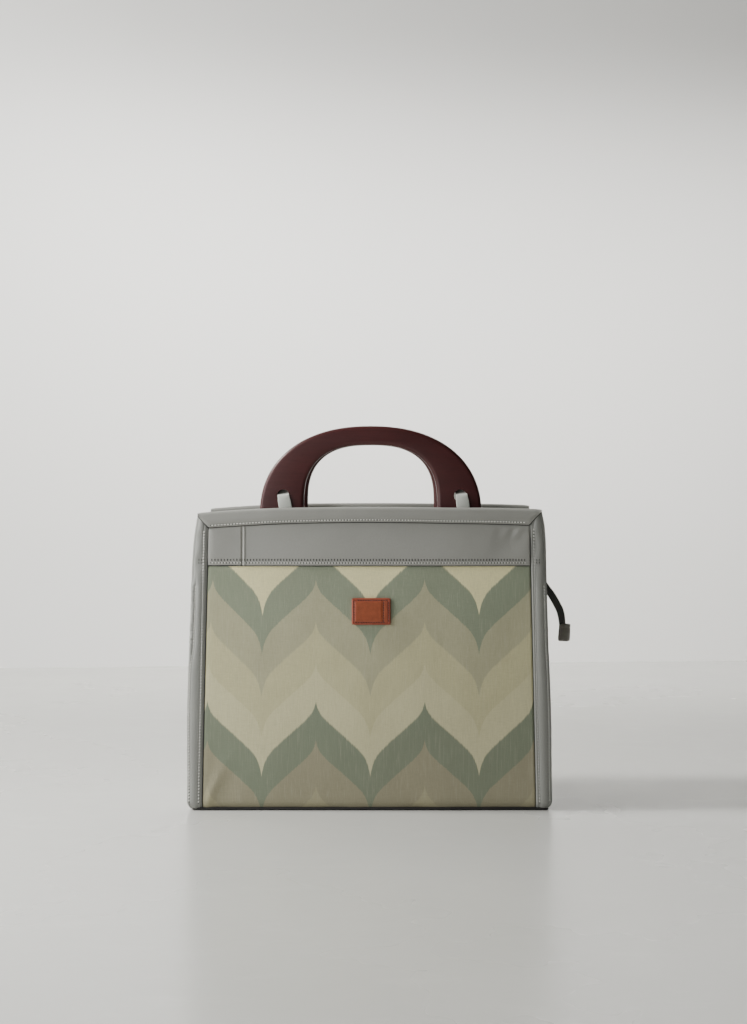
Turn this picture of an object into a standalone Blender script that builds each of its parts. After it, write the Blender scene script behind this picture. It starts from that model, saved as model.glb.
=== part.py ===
# Handbag with wooden handles.
# Front face at -Y, rear face at +Y, up is +Z, origin at the middle of the base on the floor.
# Lengths below are millimetres and become metres where a mesh is made.

import math

import bmesh
import bpy
from mathutils import Vector

MM = 0.001
GAP = 0.3

# Body of the bag
HALF_WIDTH = 165.8
HALF_DEPTH_BASE = 70.0
HALF_DEPTH_TOP = 65.0
BODY_HEIGHT = 268.0
WALL_BOTTOM = 2.9
TUCK_DEPTH = 3.5
TUCK_HEIGHT = 7.0
BULGE = 4.5
BASE_THICKNESS = 2.6
BASE_CORNER = 7.0
BASE_SET_BACK = 1.2

# Rows of points up each wall
CLOTH_ROWS = 12
STRIP_ROWS = 12
GUSSET_ROWS = 12

# Cloth and leatherette
CLOTH_THICKNESS = 2.0
STRIP_THICKNESS = 1.6
STRIP_PROUD = 0.5
STRIP_SIDE_LEG = 14.0
CORNER_RADIUS = 2.2
STRIP_WIDTH_BASE = 15.6
STRIP_WIDTH_TOP = 10.4
BAND_HEIGHT = 53.0
BAND_INTO_RIM = 3.6
BAND_PROUD = 0.8
BAND_TUCK_X = -115.0
BAND_TUCK_STEP = 0.6
GUSSET_THICKNESS = 1.8
GUSSET_SET_BACK = 0.5
GUSSET_FOLD = 24.0
GUSSET_DIP = 14.0

# Rim binding
RIM_ARCH = 6.0
RIM_TOP = BODY_HEIGHT + RIM_ARCH
RIM_HEIGHT = 13.7
RIM_SEAM = RIM_TOP - RIM_HEIGHT
RIM_SEAM_ARCH = 4.2
RIM_CORNER_LEG = 3.4
RIM_NARROWING = 10.8
RIM_HALF_WIDTH = HALF_WIDTH - RIM_NARROWING
RIM_DEPTH = 5.0
RIM_BACK = 0.54 * RIM_DEPTH
RIM_THICKNESS = 1.2

# Upright seams and the seam between cloth and band
SEAM_HALF_WIDTH_BASE = HALF_WIDTH - STRIP_WIDTH_BASE
SEAM_HALF_WIDTH_TOP = RIM_HALF_WIDTH - STRIP_WIDTH_TOP
BAND_BOTTOM = RIM_TOP - BAND_HEIGHT

# Closed zip
ZIP_DROP = 28.0
ZIP_LEVEL = RIM_TOP - ZIP_DROP
ZIP_PANEL_THICKNESS = 1.4
ZIP_PANEL_CLEARANCE = 1.6
ZIP_TAPE_HALF_WIDTH = 12.7
ZIP_TAPE_THICKNESS = 1.2
ZIP_TEETH_HALF_WIDTH = 2.6
ZIP_TEETH_HEIGHT = 1.5
ZIP_END_SET_BACK = 34.8
ZIP_HALF_LENGTH = HALF_WIDTH - ZIP_END_SET_BACK
ZIP_SLIDER = (13.0, 9.0, 3.4)
ZIP_SLIDER_SET_BACK = 15.0
TAIL_WIDTH = 7.0
TAIL_THICKNESS = 2.2
TAIL_END = (10.4, 5.0, 16.5)
TAIL_END_OUT = 1.2
TAIL_END_GAP = 0.9

# Handles
HANDLE_HALF_WIDTH = 101.5
HANDLE_FOOT_RISE = 16.0
HANDLE_FOOT = ZIP_LEVEL + HANDLE_FOOT_RISE
HANDLE_HEIGHT = 85.5
HANDLE_TOP = HANDLE_FOOT + HANDLE_HEIGHT
HANDLE_STRAIGHT = 4.0
HANDLE_OUTER_POWER = 2.25
HANDLE_BAR = 17.2
HANDLE_LEG = 40.6
OPENING_TOP = HANDLE_TOP - HANDLE_BAR
OPENING_HALF_WIDTH = HANDLE_HALF_WIDTH - HANDLE_LEG
OPENING_STRAIGHT = 14.0
OPENING_POWER = 2.6
HANDLE_THICKNESS = 12.0
HANDLE_EDGE = 3.0
HANDLE_FOOT_CORNER = 5.0
HANDLE_SET_BACK = 18.5
HANDLE_Y = HALF_DEPTH_TOP - HANDLE_SET_BACK
HOLE_RADIUS = 6.2
HOLE_IN = 21.0
HOLE_X = HANDLE_HALF_WIDTH - HOLE_IN
HOLE_RISE = 23.0
HOLE_Z = HANDLE_FOOT + HOLE_RISE

# Strap loops that hold the handles
LOOP_WIDTH = 9.8
LOOP_THICKNESS = 1.5
LOOP_CLEARANCE = 0.4
LOOP_FOOT_CLEARANCE = 1.8
LOOP_LOW_BEND = 2.5
LOOP_HIGH_BEND = 1.0
LOOP_LEAN = math.radians(6.0)
LOOP_TAIL_Y = HALF_DEPTH_TOP - RIM_BACK - GAP
LOOP_TAIL_LENGTH = 16.0
LOOP_TAIL_RISE = 4.0

# Label patch
LABEL_WIDTH = 35.0
LABEL_HEIGHT = 24.0
LABEL_THICKNESS = 1.6
LABEL_X = 0.5
LABEL_DROP = 41.0
LABEL_Z = BAND_BOTTOM - LABEL_DROP

# Outline of the front face: height as a share of the body, half width as a share of the widest
SIDE_OUTLINE = (
    # (height share, width share)
    (0.00, 1.000),
    (0.25, 0.998),
    (0.50, 0.989),
    (0.75, 0.974),
    (0.85, 0.966),
    (0.93, 0.955),
    (1.00, 0.935),
)

# Way of the zip's tail seen from the front, from the end of the tape to the end piece.
# across and rise are shares of the base's half width and of the body height, turn is the strap's twist.
TAIL_ROUTE = (
    # (across, rise, turn)
    (0.7990, 0.9180, 0.0),
    (0.8110, 0.9384, 0.0),
    (0.8350, 0.9478, 0.0),
    (0.8595, 0.9440, 0.0),
    (0.8720, 0.9254, 0.0),
    (0.8820, 0.8955, 0.0),
    (0.8957, 0.8580, 10.0),
    (0.9200, 0.8172, 30.0),
    (0.9560, 0.7760, 55.0),
    (1.0042, 0.7425, 70.0),
    (1.0464, 0.7052, 70.0),
    (1.0754, 0.6604, 70.0),
    (1.0935, 0.6080, 70.0),
)

# Materials as (red, green, blue), roughness
LEATHERETTE = ((0.235, 0.235, 0.222), 0.55)
TRIM = ((0.190, 0.190, 0.178), 0.55)
CLOTH = ((0.330, 0.315, 0.250), 0.90)
SIDE_CLOTH = ((0.210, 0.205, 0.190), 0.80)
CHARCOAL = ((0.028, 0.027, 0.025), 0.70)
METAL = ((0.300, 0.300, 0.300), 0.35)
WOOD = ((0.062, 0.018, 0.018), 0.35)
LABEL_LEATHER = ((0.280, 0.075, 0.029), 0.55)
STRAP_LEATHER = ((0.380, 0.390, 0.350), 0.55)

FRONT = -1
REAR = 1
RIGHT = 1
LEFT = -1

parts = None
cutters = None


def blend(low, high, share):
    return low + (high - low) * share


def read_outline(share):
    """Half-width share at a height share, from the outline table."""
    share = min(max(share, 0.0), 1.0)
    for lower, upper in zip(SIDE_OUTLINE, SIDE_OUTLINE[1:]):
        if share <= upper[0]:
            part = (share - lower[0]) / (upper[0] - lower[0])
            return blend(lower[1], upper[1], part)
    return SIDE_OUTLINE[-1][1]


def tuck(z):
    """How far the foot of the walls turns inward."""
    share = max(0.0, 1.0 - (z - WALL_BOTTOM) / TUCK_HEIGHT)
    return TUCK_DEPTH * share * share


def half_width(z):
    return HALF_WIDTH * read_outline(z / BODY_HEIGHT) - tuck(z)


def half_depth(z):
    return blend(HALF_DEPTH_BASE, HALF_DEPTH_TOP, z / BODY_HEIGHT) - tuck(z)


def seam_half_width(z):
    return blend(SEAM_HALF_WIDTH_BASE, SEAM_HALF_WIDTH_TOP, z / BODY_HEIGHT)


def wall_height(share, rows, top):
    """Height of a wall's row of points: two rows shape the tucked foot, the rest are even."""
    row = round(share * rows)
    foot = WALL_BOTTOM + TUCK_HEIGHT
    if row < 2:
        return blend(WALL_BOTTOM, foot, row * 0.38)
    return blend(foot, top, (row - 2) / (rows - 2))


def face_depth(x, z):
    """Distance of the front or rear cloth from the middle plane."""
    across = min(abs(x) / seam_half_width(z), 1.0)
    rise = min(max(z / RIM_SEAM, 0.0), 1.0)
    bulge = BULGE * math.cos(math.pi / 2 * across) * math.sin(math.pi * rise)
    return half_depth(z) + bulge


def rim_top(x):
    return RIM_TOP - RIM_ARCH * (abs(x) / RIM_HALF_WIDTH) ** 2.5


def rim_low(x):
    """Lower edge of the rim binding, with a mitre at each end."""
    inner = RIM_SEAM - RIM_SEAM_ARCH * (abs(x) / SEAM_HALF_WIDTH_TOP) ** 2
    reach = (abs(x) - SEAM_HALF_WIDTH_TOP) / (RIM_HALF_WIDTH - SEAM_HALF_WIDTH_TOP)
    if reach <= 0.0:
        return inner
    corner = RIM_SEAM - RIM_SEAM_ARCH
    return blend(corner, rim_top(RIM_HALF_WIDTH) - RIM_CORNER_LEG, min(reach, 1.0))


def gusset_top(y):
    """Upper edge of a side, which dips between the front and the rear."""
    corner = rim_low(RIM_HALF_WIDTH) - GAP
    return corner - GUSSET_DIP * (1.0 - (abs(y) / HALF_DEPTH_TOP) ** 2)


def gusset_x(y, z):
    """Outer face of a side, folded inward along its middle."""
    reach = half_depth(z) - STRIP_SIDE_LEG
    share = math.sqrt(min(abs(y) / reach, 1.0) ** 2 + 0.02) / math.sqrt(1.02)
    fold = GUSSET_FOLD * (max(z, 0.0) / BODY_HEIGHT) ** 1.5
    return half_width(z) - GUSSET_SET_BACK - fold * (1.0 - math.sin(math.pi / 2 * share))


def material(name, look):
    made = bpy.data.materials.new(name)
    made.use_nodes = True
    shader = made.node_tree.nodes["Principled BSDF"]
    shader.inputs["Base Color"].default_value = (*look[0], 1.0)
    shader.inputs["Roughness"].default_value = look[1]
    shader.inputs["Metallic"].default_value = 1.0 if look is METAL else 0.0
    return made


def add_object(name, mesh, look):
    obj = bpy.data.objects.new(name, mesh)
    mesh.materials.clear()
    mesh.materials.append(material(name, look))
    parts.objects.link(obj)
    mesh.shade_smooth()
    mesh.set_sharp_from_angle(angle=math.radians(35.0))
    return obj


def sheet(name, columns, rows, place, thickness, outward, look):
    """A thin wall: an open grid set out by place(u, v), given its thickness inward."""
    bm = bmesh.new()
    bmesh.ops.create_grid(bm, x_segments=columns, y_segments=rows, size=0.5)
    for vert in bm.verts:
        vert.co = Vector(place(vert.co.x + 0.5, vert.co.y + 0.5)) * MM
    bm.normal_update()
    total = Vector((0.0, 0.0, 0.0))
    for face in bm.faces:
        total += face.normal
    if total.dot(Vector(outward)) < 0.0:
        bmesh.ops.reverse_faces(bm, faces=bm.faces)
    mesh = bpy.data.meshes.new(name)
    bm.to_mesh(mesh)
    bm.free()
    obj = add_object(name, mesh, look)
    solid = obj.modifiers.new("Thickness", "SOLIDIFY")
    solid.thickness = thickness * MM
    solid.offset = -1.0
    solid.use_even_offset = True
    return obj


def block(name, size, centre, bevel, look):
    """A box with rounded edges."""
    bm = bmesh.new()
    bmesh.ops.create_cube(bm, size=1.0)
    bmesh.ops.scale(bm, vec=Vector(size) * MM, verts=bm.verts)
    mesh = bpy.data.meshes.new(name)
    bm.to_mesh(mesh)
    bm.free()
    obj = add_object(name, mesh, look)
    obj.location = Vector(centre) * MM
    rounded = obj.modifiers.new("Edges", "BEVEL")
    rounded.width = bevel * MM
    rounded.segments = 2
    return obj


def flat_mesh(name, outlines, thickness):
    """A flat plate from closed outlines in its own XY plane, turned into a mesh."""
    curve = bpy.data.curves.new(name + "_outline", "CURVE")
    curve.dimensions = "2D"
    curve.fill_mode = "BOTH"
    curve.extrude = thickness / 2 * MM
    for outline in outlines:
        spline = curve.splines.new("POLY")
        spline.points.add(len(outline) - 1)
        for point, (a, b) in zip(spline.points, outline):
            point.co = (a * MM, b * MM, 0.0, 1.0)
        spline.use_cyclic_u = True
    guide = bpy.data.objects.new(name + "_outline", curve)
    bpy.context.scene.collection.objects.link(guide)
    bpy.context.view_layer.update()
    evaluated = guide.evaluated_get(bpy.context.evaluated_depsgraph_get())
    mesh = bpy.data.meshes.new_from_object(evaluated)
    bpy.data.objects.remove(guide)
    bm = bmesh.new()
    bm.from_mesh(mesh)
    bmesh.ops.remove_doubles(bm, verts=bm.verts, dist=0.00001)
    bmesh.ops.recalc_face_normals(bm, faces=bm.faces)
    bm.to_mesh(mesh)
    bm.free()
    return mesh


def arc(centre, radius, start, end, steps):
    """Points on an arc, angles in degrees."""
    points = []
    for step in range(steps + 1):
        angle = math.radians(blend(start, end, step / steps))
        points.append((centre[0] + radius * math.cos(angle), centre[1] + radius * math.sin(angle)))
    return points


def arch(width, spring, top, power, steps):
    """Half of a rounded arch from its spring line to just before its top, at +X."""
    points = []
    for step in range(steps):
        angle = math.pi / 2 * step / steps
        x = width * math.cos(angle) ** (2 / power)
        z = spring + (top - spring) * math.sin(angle) ** (2 / power)
        points.append((x, z))
    return points


def make_base():
    half_x = half_width(WALL_BOTTOM) - BASE_SET_BACK
    half_y = half_depth(WALL_BOTTOM) - BASE_SET_BACK
    inner_x = half_x - BASE_CORNER
    inner_y = half_y - BASE_CORNER
    outline = []
    for start, sx, sy in ((0, 1, 1), (90, -1, 1), (180, -1, -1), (270, 1, -1)):
        outline += arc((sx * inner_x, sy * inner_y), BASE_CORNER, start, start + 90, 5)
    mesh = flat_mesh("base_panel", [outline], BASE_THICKNESS)
    obj = add_object("base_panel", mesh, CHARCOAL)
    obj.location.z = BASE_THICKNESS / 2 * MM


def make_face(side, label):
    """Printed cloth, leatherette band and rim binding of the front or the rear."""
    outward = (0.0, side, 0.0)

    def cloth(u, v):
        z = wall_height(v, CLOTH_ROWS, BAND_BOTTOM)
        x = (2 * u - 1) * (seam_half_width(z) - GAP)
        return x, side * face_depth(x, z), z

    def band(u, v):
        x = (2 * u - 1) * (seam_half_width(BAND_BOTTOM) - GAP)
        z = blend(BAND_BOTTOM + GAP, rim_top(x) - BAND_INTO_RIM, v)
        x = (2 * u - 1) * (seam_half_width(z) - GAP)
        proud = BAND_PROUD
        if side == FRONT and x < BAND_TUCK_X and v < 0.5:
            proud -= BAND_TUCK_STEP
        return x, side * (face_depth(x, z) + proud), z

    section = (
        # (share of the leg, below the top and out from the front as shares of the rim's depth)
        (0.0, 0.00, 0.46),
        (0.5, 0.00, 0.46),
        (1.0, 0.52, 0.46),
        (1.0, 0.16, 0.28),
        (1.0, 0.00, -0.04),
        (1.0, 0.16, -0.36),
        (1.0, 0.52, -0.54),
        (0.5, 0.00, -0.54),
        (0.0, 0.00, -0.54),
    )
    shoulder = section[2][1] * RIM_DEPTH

    def rim(u, v):
        x = (2 * u - 1) * RIM_HALF_WIDTH
        leg, below, out = section[round(v * (len(section) - 1))]
        top = rim_top(x)
        if leg < 1.0:
            z = blend(rim_low(x), top - shoulder, leg)
        else:
            z = top - below * RIM_DEPTH
        return x, side * (face_depth(x, z) + out * RIM_DEPTH), z

    sheet(label + "_fabric_panel", 18, CLOTH_ROWS, cloth, CLOTH_THICKNESS, outward, CLOTH)
    sheet(label + "_top_band", 26, 3, band, CLOTH_THICKNESS, outward, LEATHERETTE)
    sheet(label + "_rim_binding", 30, len(section) - 1, rim, RIM_THICKNESS, (0.0, 0.0, 1.0), TRIM)


def strip_section(z):
    """Plan of an edge strip at one height as (across, towards the face), from seam to side."""
    wide = half_width(z)
    deep = half_depth(z) + STRIP_PROUD
    start = seam_half_width(z) + GAP
    points = [(start, deep), (blend(start, wide, 0.5), deep)]
    centre = (wide - CORNER_RADIUS, deep - CORNER_RADIUS)
    points += arc(centre, CORNER_RADIUS, 90, 0, 3)
    points.append((wide, half_depth(z) - STRIP_SIDE_LEG * 0.5))
    points.append((wide, half_depth(z) - STRIP_SIDE_LEG))
    return points


def make_strip(side, hand, name):
    """Edge strip that wraps one upright corner of the bag."""
    columns = len(strip_section(BODY_HEIGHT)) - 1

    def strip(u, v):
        column = round(u * columns)
        across, towards = strip_section(BAND_BOTTOM)[column]
        if column < columns - 2:
            top = rim_low(across) - GAP
        else:
            top = gusset_top(towards)
        top = min(top, rim_low(RIM_HALF_WIDTH) - GAP)
        z = wall_height(v, STRIP_ROWS, top)
        across, towards = strip_section(z)[column]
        return hand * across, side * towards, z

    sheet(name, columns, STRIP_ROWS, strip, STRIP_THICKNESS, (hand, side, 0.0), TRIM)


def make_gusset(hand, name):
    """Side wall with its middle fold."""

    def gusset(u, v):
        share = 2 * u - 1
        top = gusset_top(share * (HALF_DEPTH_TOP - STRIP_SIDE_LEG))
        z = wall_height(v, GUSSET_ROWS, top)
        y = share * (half_depth(z) - STRIP_SIDE_LEG - GAP)
        return hand * gusset_x(y, z), y, z

    sheet(name, 14, GUSSET_ROWS, gusset, GUSSET_THICKNESS, (hand, 0.0, 0.0), SIDE_CLOTH)


def make_zip():
    """Closed zip between two panels that are sewn inside the top band."""
    floor = ZIP_LEVEL - ZIP_PANEL_THICKNESS

    def panel_place(side):
        def place(u, v):
            inner = ZIP_TAPE_HALF_WIDTH + GAP
            guess = (2 * u - 1) * seam_half_width(ZIP_LEVEL)
            wall = BAND_PROUD - CLOTH_THICKNESS
            outer = face_depth(guess, ZIP_LEVEL) + wall - ZIP_PANEL_CLEARANCE / 2
            y = blend(inner, outer, v)
            reach = gusset_x(y, floor) - GUSSET_THICKNESS - ZIP_PANEL_CLEARANCE
            if y > half_depth(ZIP_LEVEL) - STRIP_SIDE_LEG:
                side_wall = half_width(ZIP_LEVEL) - STRIP_THICKNESS
                reach = min(reach, side_wall - ZIP_PANEL_CLEARANCE)
            return (2 * u - 1) * reach, side * y, ZIP_LEVEL
        return place

    for side, label in ((FRONT, "front"), (REAR, "rear")):
        sheet("zip_panel_" + label, 12, 5, panel_place(side), ZIP_PANEL_THICKNESS,
              (0.0, 0.0, 1.0), SIDE_CLOTH)

    wide = ZIP_TAPE_HALF_WIDTH
    low = ZIP_LEVEL - ZIP_TAPE_THICKNESS
    teeth = ZIP_TEETH_HALF_WIDTH
    crest = ZIP_LEVEL + ZIP_TEETH_HEIGHT
    outline = [(-wide, low), (wide, low), (wide, ZIP_LEVEL), (teeth, ZIP_LEVEL), (teeth, crest),
               (-teeth, crest), (-teeth, ZIP_LEVEL), (-wide, ZIP_LEVEL)]
    length = 2 * ZIP_HALF_LENGTH
    obj = add_object("zip_tape", flat_mesh("zip_tape", [outline], length), CHARCOAL)
    obj.rotation_euler = (math.pi / 2, 0.0, math.pi / 2)

    centre = (ZIP_HALF_LENGTH - ZIP_SLIDER_SET_BACK, 0.0, crest + GAP + ZIP_SLIDER[2] / 2)
    block("zip_slider", ZIP_SLIDER, centre, ZIP_SLIDER[2] / 4, METAL)


def make_tail():
    """Twisted strap that leads from the zip's end over the side, and its end piece."""
    rows = len(TAIL_ROUTE) - 1
    route = [(across * HALF_WIDTH, rise * BODY_HEIGHT) for across, rise, turn in TAIL_ROUTE]

    def tail(u, v):
        row = round(v * rows)
        before = route[max(row - 1, 0)]
        after = route[min(row + 1, rows)]
        run = math.hypot(after[0] - before[0], after[1] - before[1])
        normal = ((after[1] - before[1]) / run, -(after[0] - before[0]) / run)
        turn = math.radians(TAIL_ROUTE[row][2])
        reach = (u - 0.5) * TAIL_WIDTH
        x = route[row][0] + reach * math.sin(turn) * normal[0]
        z = route[row][1] + reach * math.sin(turn) * normal[1]
        return x, reach * math.cos(turn), z

    strap = sheet("zip_tail", 2, rows, tail, TAIL_THICKNESS, (1.0, 0.0, 0.5), CHARCOAL)
    strap.modifiers["Thickness"].offset = 0.0
    foot = route[-1]
    centre = (foot[0] + TAIL_END_OUT, 0.0, foot[1] - TAIL_END_GAP - TAIL_END[2] / 2)
    block("zip_tail_end", TAIL_END, centre, TAIL_END[1] / 3, CHARCOAL)


def make_handles():
    """Two wooden arches, each with a hole in either leg."""
    foot = HANDLE_FOOT
    corner = HANDLE_FOOT_CORNER
    outer = arch(HANDLE_HALF_WIDTH, foot + HANDLE_STRAIGHT, HANDLE_TOP, HANDLE_OUTER_POWER, 18)
    inner = arch(OPENING_HALF_WIDTH, foot + OPENING_STRAIGHT, OPENING_TOP, OPENING_POWER, 14)
    half = [(x, z) for x, z in reversed(inner)]
    half += arc((OPENING_HALF_WIDTH + corner, foot + corner), corner, 180, 270, 3)
    half += arc((HANDLE_HALF_WIDTH - corner, foot + corner), corner, 270, 360, 3)[:-1]
    half += outer
    outline = [(0.0, OPENING_TOP)] + half + [(0.0, HANDLE_TOP)]
    outline += [(-x, z) for x, z in reversed(half)]

    for side, label in ((FRONT, "front"), (REAR, "rear")):
        name = label + "_handle"
        mesh = flat_mesh(name, [outline], HANDLE_THICKNESS)
        obj = add_object(name, mesh, WOOD)
        obj.rotation_euler = (math.pi / 2, 0.0, 0.0)
        obj.location.y = side * HANDLE_Y * MM
        rounded = obj.modifiers.new("Edges", "BEVEL")
        rounded.width = HANDLE_EDGE * MM
        rounded.segments = 2
        rounded.limit_method = "ANGLE"
        rounded.angle_limit = math.radians(40.0)
        for hand, word in ((LEFT, "left"), (RIGHT, "right")):
            cutter = add_cutter(name + "_" + word + "_hole", hand * HOLE_X, side * HANDLE_Y)
            cut = obj.modifiers.new("Hole " + word, "BOOLEAN")
            cut.object = cutter
            cut.operation = "DIFFERENCE"
            cut.solver = "EXACT"


def add_cutter(name, x, y):
    """Cylinder along Y that drills one hole."""
    bm = bmesh.new()
    bmesh.ops.create_cone(bm, cap_ends=True, segments=20, radius1=HOLE_RADIUS * MM,
                          radius2=HOLE_RADIUS * MM, depth=2 * HANDLE_THICKNESS * MM)
    mesh = bpy.data.meshes.new(name)
    bm.to_mesh(mesh)
    bm.free()
    cutter = bpy.data.objects.new(name, mesh)
    cutter.rotation_euler = (math.pi / 2, 0.0, 0.0)
    cutter.location = Vector((x, y, HOLE_Z)) * MM
    cutter.hide_render = True
    cutter.display_type = "WIRE"
    cutters.objects.link(cutter)
    return cutter


def make_loops():
    """Straps through the handle holes, sewn to the inside of the rim by a tail."""
    near = HANDLE_Y + HANDLE_THICKNESS / 2 + LOOP_CLEARANCE
    far = HANDLE_Y - HANDLE_THICKNESS / 2 - LOOP_CLEARANCE
    low = HANDLE_FOOT - LOOP_FOOT_CLEARANCE - HOLE_Z
    high = -LOOP_THICKNESS
    outlines = []
    for t in (LOOP_THICKNESS, 0.0):
        tight = LOOP_HIGH_BEND
        wide = LOOP_LOW_BEND
        outline = arc((near - tight, high - tight), tight + t, 0, 90, 3)
        outline += arc((far + tight, high - tight), tight + t, 90, 180, 3)
        outline += arc((far + wide, low + wide), wide + t, 180, 270, 3)
        if t == 0.0:
            outline += arc((near - wide, low + wide), wide, 270, 360, 3)
        outlines.append(outline)
    t = LOOP_THICKNESS
    foot = ZIP_LEVEL + LOOP_TAIL_RISE - HOLE_Z
    head = foot + LOOP_TAIL_LENGTH
    back = LOOP_TAIL_Y - 2 * t
    outlines[0] += [(near - LOOP_LOW_BEND, low - t), (back, low - 2 * t), (back, foot),
                    (LOOP_TAIL_Y, foot), (LOOP_TAIL_Y, head), (back, head), (back, low + t),
                    (near + t, low + 2 * t)]

    for side, side_word in ((FRONT, "front"), (REAR, "rear")):
        for hand, hand_word in ((LEFT, "left"), (RIGHT, "right")):
            name = side_word + "_" + hand_word + "_handle_loop"
            turned = [[(side * a, b) for a, b in outline] for outline in outlines]
            mesh = flat_mesh(name, turned, LOOP_WIDTH)
            obj = add_object(name, mesh, STRAP_LEATHER)
            obj.rotation_mode = "XZY"
            obj.rotation_euler = (math.pi / 2, -LOOP_LEAN, math.pi / 2)
            obj.location = Vector((hand * HOLE_X, 0.0, HOLE_Z)) * MM


def make_label():
    """Small leather patch on the front cloth."""

    def label(u, v):
        x = LABEL_X + (u - 0.5) * LABEL_WIDTH
        z = LABEL_Z + (v - 0.5) * LABEL_HEIGHT
        return x, -(face_depth(x, z) + GAP + LABEL_THICKNESS), z

    sheet("label_patch", 4, 3, label, LABEL_THICKNESS, (0.0, -1.0, 0.0), LABEL_LEATHER)


def main():
    global parts, cutters
    for obj in list(bpy.data.objects):
        bpy.data.objects.remove(obj, do_unlink=True)
    parts = bpy.data.collections.new("Handbag")
    cutters = bpy.data.collections.new("Cutters")
    bpy.context.scene.collection.children.link(parts)
    bpy.context.scene.collection.children.link(cutters)

    make_base()
    make_face(FRONT, "front")
    make_face(REAR, "rear")
    for side, side_word in ((FRONT, "front"), (REAR, "rear")):
        for hand, hand_word in ((LEFT, "left"), (RIGHT, "right")):
            make_strip(side, hand, side_word + "_" + hand_word + "_edge_strip")
    make_gusset(LEFT, "left_gusset")
    make_gusset(RIGHT, "right_gusset")
    make_zip()
    make_tail()
    make_handles()
    make_loops()
    make_label()


main()
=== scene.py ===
import math

import bmesh
import bpy
import numpy as np
from mathutils import Matrix, Vector, noise


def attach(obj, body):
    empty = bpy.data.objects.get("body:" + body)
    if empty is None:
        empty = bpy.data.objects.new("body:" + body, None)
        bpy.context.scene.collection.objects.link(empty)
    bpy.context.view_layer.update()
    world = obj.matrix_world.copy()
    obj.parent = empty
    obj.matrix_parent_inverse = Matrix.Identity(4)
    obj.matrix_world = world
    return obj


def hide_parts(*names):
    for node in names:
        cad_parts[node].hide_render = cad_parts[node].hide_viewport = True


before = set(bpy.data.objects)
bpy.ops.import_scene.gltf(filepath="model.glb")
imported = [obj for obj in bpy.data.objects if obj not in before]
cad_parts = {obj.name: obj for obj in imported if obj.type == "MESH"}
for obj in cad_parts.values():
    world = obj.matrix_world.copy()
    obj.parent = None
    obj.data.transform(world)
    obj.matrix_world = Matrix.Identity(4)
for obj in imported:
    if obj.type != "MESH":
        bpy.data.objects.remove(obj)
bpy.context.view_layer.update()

# Lengths are millimetres and become metres where a mesh is made
MM = 0.001
FRONT, REAR = -1, 1
LEFT, RIGHT = -1, 1
SIDES = ((FRONT, "front"), (REAR, "rear"))
HANDS = ((LEFT, "left"), (RIGHT, "right"))

# Body of the bag
HALF_WIDTH = 165.8
HALF_DEPTH_BASE = 70.0
HALF_DEPTH_TOP = 65.0
BODY_HEIGHT = 268.0
WALL_BOTTOM = 2.9
TUCK_DEPTH = 3.5
TUCK_HEIGHT = 7.0
BULGE = 4.5
CLOTH_THICKNESS = 2.0
STRIP_THICKNESS = 1.6
STRIP_PROUD = 0.5
STRIP_SIDE_LEG = 14.0
CORNER_RADIUS = 2.2
BASE_CORNER = 7.0
SEAM_HALF_WIDTH_BASE = 150.2
SEAM_HALF_WIDTH_TOP = 144.6
BAND_BOTTOM = 221.0
BAND_PROUD = 0.8
BAND_TUCK_X = -115.0
FOLD_X = -141.0
FOLD_Z = 20.0
RIM_TOP = 273.9
RIM_ARCH = 4.0
RIM_SEAM = 260.3
RIM_SEAM_ARCH = 4.2
RIM_HALF_WIDTH = 155.0
RIM_CORNER_LEG = 2.0
RIM_ROUND = 2.6
RIM_BACK = -2.7
GUSSET_FOLD = 24.0
GUSSET_DIP = 14.0
GUSSET_THICKNESS = 1.8
GUSSET_SET_BACK = 0.5

# Zip, handles, loops and label
ZIP_LEVEL = 246.0
ZIP_HALF_LENGTH = 131.0
ZIP_TAPE_HALF_WIDTH = 12.7
ZIP_ROW_REACH = 126.0
TOOTH_PITCH = 1.25
HANDLE_HALF_WIDTH = 101.5
HANDLE_FOOT = 262.0
HANDLE_TOP = 347.5
HANDLE_OUTER_POWER = 2.25
OPENING_HALF_WIDTH = 60.9
OPENING_TOP = 330.3
OPENING_POWER = 2.6
HANDLE_THICKNESS = 12.0
HANDLE_EDGE = 3.4
HANDLE_FOOT_CORNER = 5.0
HANDLE_Y = 46.5
HOLE_RADIUS = 5.7
HOLE_X = {LEFT: -79.9, RIGHT: 81.8}
HOLE_Z = 283.8
LOOP_LEAN = {LEFT: 11.0, RIGHT: 8.0}
LOOP_SHIFT = {LEFT: 0.2, RIGHT: 1.2}
LOOP_WIDTH = 11.8
LOOP_THICKNESS = 1.45
LOOP_TAIL_Y = 60.6
TAIL_WIDTH = 7.0
TAIL_THICKNESS = 2.2
LABEL_WIDTH = 35.0
LABEL_HEIGHT = 24.0
LABEL_X = 0.5
LABEL_Z = 180.0
LABEL_BAR_X = 11.0
LABEL_SEWN_IN = 2.0

# Sewing
STITCH_PITCH = 2.7
LIGHT_STITCH = (1.8, 0.38)
STRIP_STITCH = {LEFT: (1.9, 0.50), RIGHT: (1.6, 0.36)}
BAND_STITCH = (1.5, 0.30)
HOLE_TICK = (1.1, 0.42)
BAND_LOW_TICK = (1.3, 0.36)
BAND_HIGH_TICK = (2.1, 0.46)
TAIL_TICK = (1.5, 0.42)
LABEL_STITCH = (1.5, 0.42)
LABEL_PITCH = 2.3
STRIP_INNER_ROW = 3.2
ROLLED_BORDER = {LEFT: 2.4, RIGHT: 1.3}
BORDER_DROP = {LEFT: 1.3, RIGHT: 1.1}
EDGE_DIP = {LEFT: 1.2, RIGHT: 0.1}
# How far under the surface the painted seam shade beside each strip sits, deeper on the right where the
# light from the left reaches the seam, and how thick the painted shade along each mitre is
EDGE_DROP = {LEFT: 0.8, RIGHT: 2.4}
MITRE_RADIUS = {LEFT: 0.7, RIGHT: 0.5}
BAND_ROWS = (2.4, 5.1)
SEWN_TO = 205.0
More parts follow.
